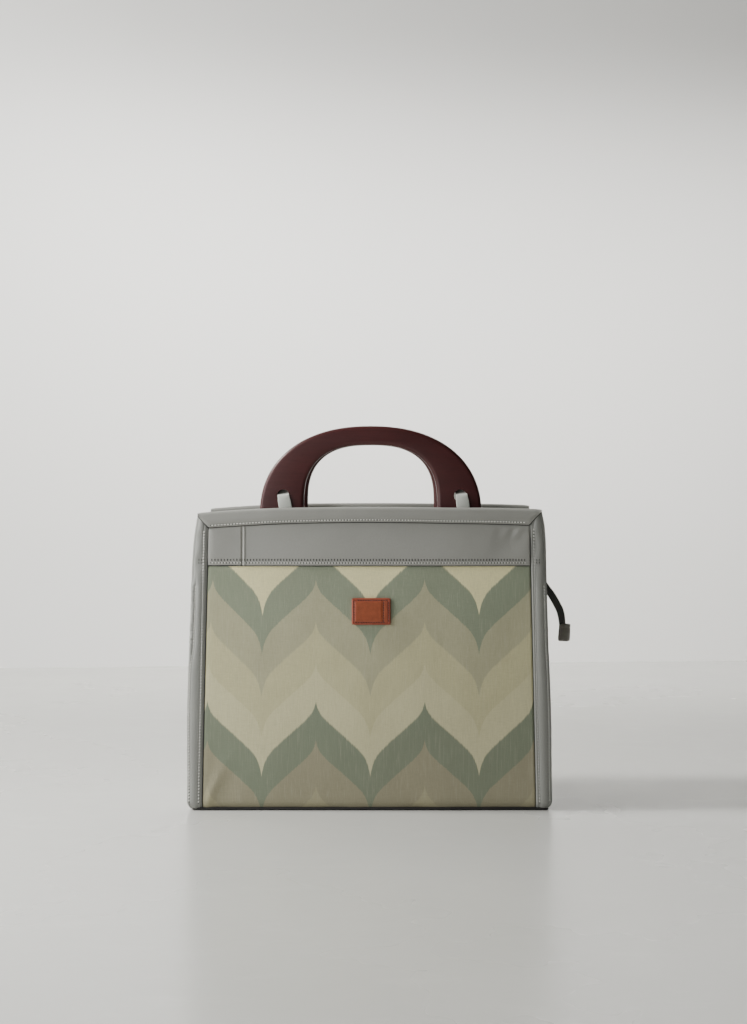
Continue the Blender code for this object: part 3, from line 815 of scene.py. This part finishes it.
def rim_section(x):
    """Closed outline of the rim as (out from the face, z)."""
    end = max(abs(x) - RIM_HALF_WIDTH + 5.0, 0.0) / 5.0
    top = rim_top(x) - 0.5 * end * end
    low = rim_low(x)
    bend = min(RIM_ROUND, 0.5 * (top - low))
    rise = top - bend - low
    roll = rim_roll(x)
    outline = [(0.9, low)]
    for share in np.linspace(0.05, 1.0, 14):
        swell = 1.1 * math.sin(math.pi / 2 * min(share * 1.7, 1.0)) - 0.5 * max(share - 0.6, 0.0)
        groove = 0.35 * hump(share * rise - 2.0, 0.8)
        outline.append((1.5 + swell - groove + roll * share, low + rise * share))
    crown = outline[-1][0]
    for k in range(1, 8):
        angle = math.pi * k / 8
        out = blend(RIM_BACK, crown, 0.5 + 0.5 * math.cos(angle))
        outline.append((out, top - bend + bend * math.sin(angle)))
    outline += [(RIM_BACK, low + rise * share) for share in np.linspace(1.0, 0.0, 8)]
    outline.append((-1.6, low))
    return outline


def make_rim(side, label):
    rings = []
    for x in np.linspace(-RIM_HALF_WIDTH, RIM_HALF_WIDTH, 201):
        rings.append([(x, side * (face_depth(x, z) + out), z) for out, z in rim_section(x)])
    loft(label + "_rim", rings, rim_leather, [label + "_rim_binding"])


def make_face_sewing(side, label):
    outward = np.array((0.0, side, 0.0))

    def across(height, out, reach=SEAM_HALF_WIDTH_TOP - 2.0):
        path = []
        for x in np.linspace(-reach, reach, 200):
            z = height(x)
            path.append((x, side * (face_depth(x, z) + out(x, z)), z))
        return path

    def on_band(x, z):
        return BAND_PROUD + band_relief(x, z, side) + 0.1

    low, high = (across(lambda x, row=row: BAND_BOTTOM + row, on_band) for row in BAND_ROWS)
    # Rows of dark marks along the band's foot: painted shade of its needle holes
    ticks(label + "_band_ticks_low", low, outward, BAND_LOW_TICK)
    ticks(label + "_band_ticks_high", high, outward, BAND_HIGH_TICK, 0.3)
    stitch_row(label + "_band_stitches", low, outward, BAND_STITCH, light_thread)
    rim_row = across(lambda x: rim_low(x) + 2.0, lambda x, z: 2.2 + rim_roll(x) * 0.25)
    sew(label + "_rim_stitches", rim_row, outward)
    # Dark tubes under the rim, over the cloth, beside the strips and along the mitres: painted shade in the
    # seams' gaps
    rim_seam = across(lambda x: rim_low(x) - 0.2, lambda x, z: 0.55, SEAM_HALF_WIDTH_TOP)
    seam_shade_line(label + "_rim_seam", rim_seam, 0.5, outward)
    cloth_seam = across(lambda x: BAND_BOTTOM - 0.1, lambda x, z: -0.5, SEAM_HALF_WIDTH_TOP)
    seam_shade_line(label + "_cloth_seam", cloth_seam, 0.45, outward)
    for hand, word in HANDS:
        upright = []
        for z in np.linspace(WALL_BOTTOM + 1.0, rim_low(SEAM_HALF_WIDTH_TOP), 60):
            upright.append((hand * (seam_half_width(z) - 0.1), side * (half_depth(z) - EDGE_DROP[hand]), z))
        seam_shade_line(f"{label}_{word}_seam", upright, 0.4, outward)
        mitre = []
        for x in np.linspace(SEAM_HALF_WIDTH_TOP - 0.4, RIM_HALF_WIDTH - 0.3, 12):
            z = rim_low(x) - 0.15
            mitre.append((hand * x, side * (half_depth(z) + 0.95), z))
        seam_shade_line(f"{label}_{word}_mitre", mitre, MITRE_RADIUS[hand], outward)


# Edge strips
LEG_STEPS = 28
TURN_STEPS = 8
SIDE_STEPS = 14


def outer_row(z, hand):
    """Distance of a strip's outer row from its corner."""
    return blend(2.4, 4.8 if hand == LEFT else 2.9, smooth(125.0, 150.0, z))


def strip_point(column, z, hand, crinkle=0.0):
    """Plan of a strip at one height: one point on its way from the face's seam round the corner."""
    wide = half_width(z)
    deep = half_depth(z) + STRIP_PROUD
    start = seam_half_width(z) + 0.3
    sewn = 1.0 - smooth(SEWN_TO - 8.0, SEWN_TO + 8.0, z)
    if column < LEG_STEPS:
        share = column / LEG_STEPS
        x = blend(start, wide - CORNER_RADIUS, share)
        inner = x - start - STRIP_INNER_ROW
        outer = wide - outer_row(z, hand) - x
        span = min(max(inner / (inner + outer), 0.0), 1.0)
        wrinkle = crinkle * smooth(1.0, -1.0, outer)
        puffed = 0.8 * math.sin(math.pi * span) - 0.4 * hump(outer, 0.9) + wrinkle
        open_span = min(max(inner, 0.0) / (inner + outer + 4.0), 1.0)
        loose = 0.6 * math.sin(math.pi * open_span) - 1.0 * share ** 3
        roll = BORDER_DROP[hand] * (1.0 - smooth(0.0, ROLLED_BORDER[hand], x - start))
        return x, deep + blend(loose, puffed, sewn) - (0.25 * hump(inner, 0.9) + roll)
    turned = column - LEG_STEPS
    if turned <= TURN_STEPS:
        angle = math.pi / 2 * (1 - turned / TURN_STEPS)
        grow = CORNER_RADIUS + crinkle
        drop = (1.0 - sewn) * math.sin(angle)
        towards = deep - CORNER_RADIUS + grow * math.sin(angle) - drop
        return wide - CORNER_RADIUS + grow * math.cos(angle), towards
    share = (turned - TURN_STEPS) / SIDE_STEPS
    foot = half_depth(z) - STRIP_SIDE_LEG
    y = blend(deep - CORNER_RADIUS, foot, share)
    relief = 0.5 * math.sin(math.pi * share) - 0.45 * sewn * hump(y - deep + 4.0, 0.9)
    relief += crinkle * (1.0 - share) ** 3 - 0.35 * hump(y - foot - STRIP_INNER_ROW, 0.9)
    return wide + relief - 0.25, y


def make_strip(side, hand, name, replaced):
    columns = LEG_STEPS + TURN_STEPS + SIDE_STEPS
    seed = 3.0 * side + 7.0 * hand
    crumple = 1.0 if hand == LEFT else 0.4
    tops = []
    for column in range(columns + 1):
        across, towards = strip_point(column, 200.0, hand)
        top = rim_low(across) - 0.3 if column < LEG_STEPS else gusset_top(towards)
        tops.append(min(top, rim_low(RIM_HALF_WIDTH) - 0.2))

    def place(u, v):
        column = round(u * columns)
        z = blend(WALL_BOTTOM, tops[column], v)
        pull = smooth(4.0, 20.0, z) * smooth(SEWN_TO + 8.0, SEWN_TO - 4.0, z)
        pull *= crumple * blend(0.4, 1.0, smooth(125.0, 150.0, z))
        fine = 0.50 * ripple(seed, column * 0.2, z, 1.4, seed)
        fine += 0.35 * ripple(seed, column * 0.3, z, 3.6, 2.0)
        across, towards = strip_point(column, z, hand, fine * pull)
        soft = smooth(SEWN_TO - 10.0, SEWN_TO + 20.0, z) * math.sin(math.pi * min(u * 1.8, 1.0))
        towards += 1.1 * soft * ripple(seed, column * 0.7, z, 15.0, 1.0)
        return hand * across, side * towards, z

    sheet(name, even(columns), even(310), place, STRIP_THICKNESS, (0.3 * hand, side, 0.0), edge_leather,
          replaced)

    def upright(low, high, across, towards):
        return [(hand * across(z), side * towards(z), z) for z in np.linspace(low, high, 120)]

    outward = (0.0, side, 0.0)
    inner = upright(WALL_BOTTOM + 5.0, rim_low(SEAM_HALF_WIDTH_TOP) - 1.5,
                    lambda z: seam_half_width(z) + 0.3 + STRIP_INNER_ROW,
                    lambda z: half_depth(z) + STRIP_PROUD)
    outer = upright(WALL_BOTTOM + 6.0, SEWN_TO,
                    lambda z: half_width(z) - outer_row(z, hand),
                    lambda z: half_depth(z) + STRIP_PROUD - 0.15)
    inside = upright(WALL_BOTTOM + 6.0, SIDE_ROW_TOP,
                     lambda z: half_width(z) - 0.15,
                     lambda z: half_depth(z) - STRIP_SIDE_LEG + STRIP_INNER_ROW)
    sew(name + "_inner_row", inner, outward, 0.35 * hand, STRIP_STITCH[hand])
    sew(name + "_outer_row", outer, outward, 0.5 * hand, STRIP_STITCH[hand])
    sew(name + "_side_row", inside, (hand, 0.0, 0.0))
    # Dark marks where the band's rows run onto the strip: painted shade of needle holes
    for number, rise in enumerate(BAND_ROWS):
        tail = []
        z = BAND_BOTTOM + rise
        for share in even(6):
            x = seam_half_width(z) + blend(4.2, 9.5, share)
            tail.append((hand * x, side * (half_depth(z) + STRIP_PROUD + 1.1 * math.sin(2.4 * share)), z))
        ticks(f"{name}_tail_{number}", tail, outward, TAIL_TICK, 0.5)


# Sides with their soft middle fold
def make_gusset(hand, name):

    def place(u, v):
        share = 2 * u - 1
        top = gusset_top(share * (HALF_DEPTH_TOP - STRIP_SIDE_LEG))
        z = blend(WALL_BOTTOM, top, v)
        y = share * (half_depth(z) - STRIP_SIDE_LEG - 0.1)
        inside = 1.0 - abs(share)
        sag = ripple(hand * 9.0, y * 1.4, z * 0.5, 26.0, 3.0) + 0.45 * ripple(hand, y, z * 0.6, 10.0, 6.0)
        seam = -0.9 * math.exp(-inside * 50.0 / 1.4)
        hem = 0.5 * hump(top - z, 2.2) - 0.6 * hump(top - z - 6.0, 0.8)
        return hand * (gusset_x(y, z) + seam + hem + sag * min(inside * 4.0, 1.0)), y, z

    sheet(name + "_side", even(76), even(130), place, GUSSET_THICKNESS, (hand, 0.0, 0.0), side_leather,
          [name])
    path, outward = [], []
    for share in np.linspace(-0.97, 0.97, 60):
        y = share * (HALF_DEPTH_TOP - STRIP_SIDE_LEG)
        z = gusset_top(y) - 6.0
        path.append((hand * (gusset_x(y, z) - 0.3), y, z))
        ahead = gusset_x(y + 0.5, z) - gusset_x(y - 0.5, z)
        outward.append((hand, -ahead, 0.0))
    sew(name + "_hem_row", path, outward)


# Closed zip
def make_zip():
    low = ZIP_LEVEL - 1.4
    upward = (0.0, 0.0, 1.0)

    def panel_place(side):
        def place(u, v):
            guess = (2 * u - 1) * seam_half_width(ZIP_LEVEL)
            y = blend(ZIP_TAPE_HALF_WIDTH - 1.5, face_depth(guess, ZIP_LEVEL) - 2.0, v)
            reach = gusset_x(y, low) - GUSSET_THICKNESS - 1.2
            if y > half_depth(ZIP_LEVEL) - STRIP_SIDE_LEG:
                reach = min(reach, half_width(ZIP_LEVEL) - STRIP_THICKNESS - 1.4)
            x = (2 * u - 1) * reach
            sag = 0.5 * ripple(x, side * y, 0.0, 30.0, 9.0) - 1.1 * math.sin(math.pi * v)
            return x, side * y, ZIP_LEVEL + 0.6 + sag + 0.5 * hump(v - 0.05, 0.05)
        return place

    for side, label in SIDES:
        sheet("zip_cover_" + label, even(140), even(26), panel_place(side), 1.3, upward, side_leather,
              ["zip_panel_" + label])
        y = side * (ZIP_TAPE_HALF_WIDTH + 1.0)
        row = [(x, y, ZIP_LEVEL + 0.9) for x in np.linspace(-ZIP_ROW_REACH, ZIP_ROW_REACH, 60)]
        sew("zip_cover_row_" + label, row, upward)

    def tape_place(u, v):
        x = (2 * u - 1) * ZIP_HALF_LENGTH
        y = (2 * v - 1) * (ZIP_TAPE_HALF_WIDTH - 0.2)
        return x, y, ZIP_LEVEL - 0.9 + 0.7 * hump(y, 3.0)

    sheet("zip_cloth_tape", even(60), even(24), tape_place, 0.9, upward, tape_weave,
          ["zip_tape"])
    make_teeth()
    make_slider()


def make_teeth():
    """Interlocking teeth, alternating from the two sides."""
    square = ((-0.5, -0.5), (0.5, -0.5), (0.5, 0.5), (-0.5, 0.5))
    corners = [(a, b, c) for c in (0.0, 1.0) for a, b in square]
    tooth = np.array([(a * (1.0 - 0.25 * c), b * (1.0 - 0.12 * c), c) for a, b, c in corners])
    quads = [(3, 2, 1, 0), (4, 5, 6, 7), (0, 1, 5, 4), (1, 2, 6, 5), (2, 3, 7, 6), (3, 0, 4, 7)]
    reach = ZIP_HALF_LENGTH - 4.0
    points, faces = [], []
    for k in range(int(2 * reach / TOOTH_PITCH)):
        centre = np.array((-reach + k * TOOTH_PITCH, 0.75 if k % 2 else -0.75, ZIP_LEVEL - 0.3))
        faces += [tuple(8 * k + index for index in quad) for quad in quads]
        points.append(tooth * np.array([0.95, 3.6, 1.5]) + centre)
    add_mesh("zip_teeth", np.array(points), faces, charcoal_moulded, sharp=30.0)


def make_slider():
    x = ZIP_HALF_LENGTH - 15.0
    top = ZIP_LEVEL + 1.8
    for name, size, shift, rise, edge, replaced in (
            ("zip_slider_body", (12.0, 8.4, 1.6), 0.0, 0.8, 0.7, ["zip_slider"]),
            ("zip_slider_bridge", (7.0, 1.8, 1.5), 0.0, 2.2, 0.6, ()),
            ("zip_puller", (22.0, 4.6, 1.0), -13.0, 1.9, 0.45, ())):
        rounded_box(name, size, (x + shift, 0.0, top + rise), edge, zip_metal, replaced)


# Strap that leads out of the zip and hangs at the right
def make_tail():
    route = catmull(np.array(TAIL_ROUTE), np.linspace(0, len(TAIL_ROUTE) - 1, 90))
    xs, zs, turns = route[:, 0] * HALF_WIDTH, route[:, 1] * BODY_HEIGHT, np.radians(route[:, 2])
    section = rounded_section(TAIL_WIDTH, TAIL_THICKNESS, 0.9)
    last = len(route) - 1
    rings = []
    for k in range(len(route)):
        dx = xs[min(k + 1, last)] - xs[max(k - 1, 0)]
        dz = zs[min(k + 1, last)] - zs[max(k - 1, 0)]
        flat = np.array([dz, 0.0, -dx]) / math.hypot(dx, dz)
        depth = np.array([0.0, 1.0, 0.0])
        wide = depth * math.cos(turns[k]) + flat * math.sin(turns[k])
        thick = flat * math.cos(turns[k]) - depth * math.sin(turns[k])
        pinch = 1.0 - 0.12 * hump(k - last, 5.0)
        rings.append([np.array([xs[k], 0.0, zs[k]]) + wide * a * pinch + thick * b for a, b in section])
    loft("zip_tail_strap", rings, charcoal_strap, ["zip_tail"], body=False)
    x, z = xs[-1] + 2.2, zs[-1] - 0.4
    turn = math.radians(CAP_TURN)
    outline = rounded_section(1.0, 1.0, 0.2)
    cap = []
    for rise, wide, thick in CAP_SECTIONS:
        ring = []
        for a, b in outline:
            across = a * wide * math.cos(turn) - b * thick * math.sin(turn) + 0.06 * rise
            ring.append((x + across, a * wide * math.sin(turn) + b * thick * math.cos(turn), z + rise))
        cap.append(ring)
    loft("zip_tail_cap", cap, charcoal_moulded, ["zip_tail_end"], body=False)


# Wooden arches
def arch_half(width, spring, top, power, steps):
    """Points of one half of an arch, from its side up to just before the top."""
    points = []
    for k in range(steps):
        angle = math.pi / 2 * (k / steps) ** 1.3
        x = width * math.cos(angle) ** (2 / power)
        points.append((x, spring + (top - spring) * math.sin(angle) ** (2 / power)))
    return points


def evaluated_mesh(made):
    """The mesh of an object as its curve or modifiers give it."""
    bpy.context.view_layer.update()
    return bpy.data.meshes.new_from_object(made.evaluated_get(bpy.context.evaluated_depsgraph_get()))


def arch_mesh(name, outline, place):
    """A flat arch with rounded edges from its closed outline, each point put where place says."""
    curve = bpy.data.curves.new(name, "CURVE")
    curve.dimensions = "2D"
    curve.fill_mode = "BOTH"
    curve.extrude = (HANDLE_THICKNESS / 2 - HANDLE_EDGE) * MM
    curve.bevel_depth = HANDLE_EDGE * MM
    curve.offset = -HANDLE_EDGE * MM
    curve.bevel_resolution = 6
    spline = curve.splines.new("POLY")
    spline.points.add(len(outline) - 1)
    for point, (x, z) in zip(spline.points, outline):
        point.co = (x * MM, z * MM, 0.0, 1.0)
    spline.use_cyclic_u = True
    guide = add_object(name, curve)
    mesh = evaluated_mesh(guide)
    bpy.data.objects.remove(guide)
    bm = bmesh.new()
    bm.from_mesh(mesh)
    bmesh.ops.remove_doubles(bm, verts=bm.verts, dist=0.02 * MM)
    for vert in bm.verts:
        vert.co = place(*vert.co)
    bmesh.ops.recalc_face_normals(bm, faces=bm.faces)
    bm.to_mesh(mesh)
    bm.free()
    return mesh


def drill(piece, centre, radius, depth):
    """Cut a round hole along Y through a piece."""
    bm = bmesh.new()
    bmesh.ops.create_cone(bm, cap_ends=True, segments=48, radius1=radius, radius2=radius, depth=depth)
    bmesh.ops.rotate(bm, matrix=Matrix.Rotation(math.pi / 2, 3, "X"), verts=bm.verts)
    bmesh.ops.translate(bm, vec=centre, verts=bm.verts)
    mesh = bpy.data.meshes.new("drill")
    bm.to_mesh(mesh)
    bm.free()
    cutter = add_object("drill", mesh)
    cut = piece.modifiers.new("hole", "BOOLEAN")
    cut.object = cutter
    cut.solver = "EXACT"
    drilled = evaluated_mesh(piece)
    piece.modifiers.clear()
    piece.data = drilled
    bpy.data.objects.remove(cutter)


def make_handle(side, label):
    foot, corner = HANDLE_FOOT, HANDLE_FOOT_CORNER
    outer = arch_half(HANDLE_HALF_WIDTH, foot + 4.0, HANDLE_TOP, HANDLE_OUTER_POWER, 60)
    inner = arch_half(OPENING_HALF_WIDTH, foot + 14.0, OPENING_TOP, OPENING_POWER, 54)
    half = inner[::-1]
    half += quarter((OPENING_HALF_WIDTH + corner, foot + corner), corner, 180, 8)
    half += quarter((HANDLE_HALF_WIDTH - corner, foot + corner), corner, 270, 8)[:-1]
    half += outer[1:]
    outline = [(0.0, OPENING_TOP)] + half + [(0.0, HANDLE_TOP)] + [(-x, z) for x, z in reversed(half)]
    mesh = arch_mesh(label + "_arch", outline, lambda x, z, y: Vector((x, side * HANDLE_Y * MM - y, z)))
    piece = add_piece(label + "_arch", mesh, handle_wood, [label + "_handle"])
    for hand, _ in HANDS:
        centre = Vector((HOLE_X[hand], side * HANDLE_Y, HOLE_Z)) * MM
        drill(piece, centre, HOLE_RADIUS * MM, 3 * HANDLE_THICKNESS * MM)
    piece.data.shade_smooth()
    piece.data.set_sharp_from_angle(angle=math.radians(30.0))
    edge = piece.modifiers.new("hole edge", "BEVEL")
    edge.width = 0.7 * MM
    edge.segments = 3
    edge.limit_method = "ANGLE"
    edge.angle_limit = math.radians(50.0)


# Strap loops
def make_loop(side, hand, name):
    """A strap round the wood below its hole, with a tail down inside the rim."""
    near = HANDLE_Y + HANDLE_THICKNESS / 2 + 1.15
    far = HANDLE_Y - HANDLE_THICKNESS / 2 - 1.15
    high, low = HOLE_Z + 0.4, HANDLE_FOOT - 2.6
    route = np.array([
        (far + 0.2, high + 4.4), (HANDLE_Y, high + 1.6), (near - 1.5, high), (near, high - 1.6),
        (near + 0.35, blend(high, low, 0.3)), (near + 0.3, blend(high, low, 0.6)), (near, low + 4.0),
        (near - 3.0, low), (HANDLE_Y, low - 0.1), (far + 3.0, low), (far, low + 4.0),
        (far, blend(high, low, 0.5)), (far - 0.6, high + 1.0)])
    closed = np.concatenate((route[-3:], route, route[:4]))
    dense = catmull(closed, np.linspace(3.0, 3.0 + len(route), 14 * len(route) + 1)[:-1])
    lean = math.tan(math.radians(LOOP_LEAN[hand]))
    section = rounded_section(LOOP_WIDTH, LOOP_THICKNESS, 0.6, 3)
    middle = HOLE_X[hand] + LOOP_SHIFT[hand]
    rings = []
    for k, (y, z) in enumerate(dense):
        run = dense[(k + 1) % len(dense)] - dense[k - 1]
        run /= np.linalg.norm(run)
        top = smooth(high - 7.0, high, z)
        squeeze = 1.0 - 0.13 * top
        ring = []
        for a, b in section:
            across = middle + a * squeeze - lean * (z - HOLE_Z)
            rise = top * (1.3 * (a / 5.3) ** 2 - 0.8) + 0.5 * lean * a * smooth(low, high, z)
            ring.append((across, side * (y - run[1] * b), z + run[0] * b + rise))
        rings.append(ring)
    loft(name + "_strap", rings, strap_leather, [name], loop=True)
    tail = []
    for z in np.linspace(250.0, 266.0, 12):
        tail.append([(middle + a - lean * (z - HOLE_Z), side * (LOOP_TAIL_Y + b), z) for a, b in section])
    loft(name + "_tail", tail, strap_leather)


# Label patch
def label_lift(x, z):
    """Height of the patch over the cloth at a place measured from the patch's middle."""
    edge = min(LABEL_WIDTH / 2 - abs(x), LABEL_HEIGHT / 2 - abs(z))
    lift = 0.5 * smooth(0.0, 1.2, edge) - 0.35 * hump(edge - 2.0, 0.5)
    lift += 0.25 * smooth(2.6, 4.0, edge) * smooth(10.0, 8.6, x)
    return lift - 0.3 * hump(x - LABEL_BAR_X, 0.5) * smooth(1.5, 2.5, edge)


def on_label(x, z, out):
    """Place on the patch of a point measured from its middle."""
    across, up = x + LABEL_X, z + LABEL_Z
    plane = face_depth(across, up) + 0.5 * cloth_relief(across, up, FRONT)
    return across, -(plane + out + label_lift(x, z)), up


def make_label():
    def place(u, v):
        x = (u - 0.5) * LABEL_WIDTH
        z = (v - 0.5) * LABEL_HEIGHT
        pinch = 0.6 * abs(2 * u - 1) ** 18 * abs(2 * v - 1) ** 18
        x -= math.copysign(pinch, x)
        z -= math.copysign(pinch, z)
        return on_label(x, z, 2.0)

    sheet("label_leather_patch", even(100), even(70), place, 2.2, (0.0, -1.0, 0.0), label_leather,
          ["label_patch"])
    wide, tall = LABEL_WIDTH / 2 - LABEL_SEWN_IN, LABEL_HEIGHT / 2 - LABEL_SEWN_IN
    corners = [(-wide, -tall), (wide, -tall), (wide, tall), (-wide, tall), (-wide, -tall)]
    lines = list(zip(corners, corners[1:])) + [((LABEL_BAR_X, -tall), (LABEL_BAR_X, tall))]
    for number, (start, end) in enumerate(lines):
        path = []
        for share in np.linspace(0.02, 0.98, 20):
            path.append(on_label(blend(start[0], end[0], share), blend(start[1], end[1], share), 2.1))
        stitch_row(f"label_stitches_{number}", path, (0.0, -1.0, 0.0), LABEL_STITCH, label_thread,
                   pitch=LABEL_PITCH)


# Base board
def make_base():
    half_x = half_width(WALL_BOTTOM) - 0.6
    half_y = half_depth(WALL_BOTTOM) + 1.8
    rings = []
    for z, inset in ((0.0, 0.9), (0.3, 0.3), (0.8, 0.0), (2.0, 0.0), (2.6, 0.5)):
        outline = rounded_section(2 * (half_x - inset), 2 * (half_y - inset), BASE_CORNER - inset, 8)
        rings.append([(x, y, z) for x, y in outline])
    loft("base_board", rings, base_finish, ["base_panel"], body=False)


# Room and light
def make_room():
    left, right = (-6, 0.515), (6, 1.525)
    floor = ((-6, -5, 0), (6, -5, 0), (*right, 0), (*left, 0))
    wall = ((*left, 0), (*right, 0), (*right, 5), (*left, 5))
    wall_finish = plain("wall_finish", (0.88, 0.875, 0.855), 0.9, 1.3, 0.0002, 0.015)
    for name, points, material in (("floor", floor, floor_finish()), ("wall", wall, wall_finish)):
        mesh = bpy.data.meshes.new(name)
        mesh.from_pydata(points, [], [(0, 1, 2, 3)])
        mesh.materials.append(material)
        stage = add_object(name, mesh)


def area_light(name, place, target, size, power, colour=(1.0, 1.0, 1.0), spread=180.0):
    data = bpy.data.lights.new(name, "AREA")
    data.shape = "RECTANGLE"
    data.size, data.size_y = size
    data.energy = power
    data.color = colour
    data.spread = math.radians(spread)
    light = add_object(name, data)
    light.location = place
    light.rotation_euler = (Vector(target) - Vector(place)).to_track_quat("-Z", "Y").to_euler()
    light.visible_camera = False


def make_light():
    world = bpy.data.worlds.new("world")
    world.use_nodes = True
    world.node_tree.nodes["Background"].inputs[0].default_value = (0.95, 0.97, 1.0, 1.0)
    world.node_tree.nodes["Background"].inputs[1].default_value = 0.05
    bpy.context.scene.world = world
    area_light("window", (-2.1, -0.1, 2.0), (0.0, 0.0, 0.1), (0.4, 0.6), 135.0, (1.0, 0.99, 0.96))
    area_light("side", (-0.72, -0.42, 0.42), (-0.1, -0.07, 0.2), (0.35, 0.5), 5.2)
    area_light("gloss", (-0.45, -1.20, 0.40), (-0.1, -0.07, 0.2), (0.3, 0.6), 2.4)
    area_light("wash", (0.15, 0.42, 1.05), (0.18, 1.04, 0.32), (1.6, 0.2), 6.6, (1.0, 0.985, 0.96), 82.0)


make_camera()
make_base()
for face_side, face_label in SIDES:
    make_face(face_side, face_label)
    make_handle(face_side, face_label)
    for hand_side, hand_label in HANDS:
        strip = face_label + "_" + hand_label + "_edge_strip"
        make_strip(face_side, hand_side, strip + "_leather", [strip])
        make_loop(face_side, hand_side, face_label + "_" + hand_label + "_handle_loop")
make_gusset(LEFT, "left_gusset")
make_gusset(RIGHT, "right_gusset")
make_zip()
make_tail()
make_label()
make_room()
make_light()
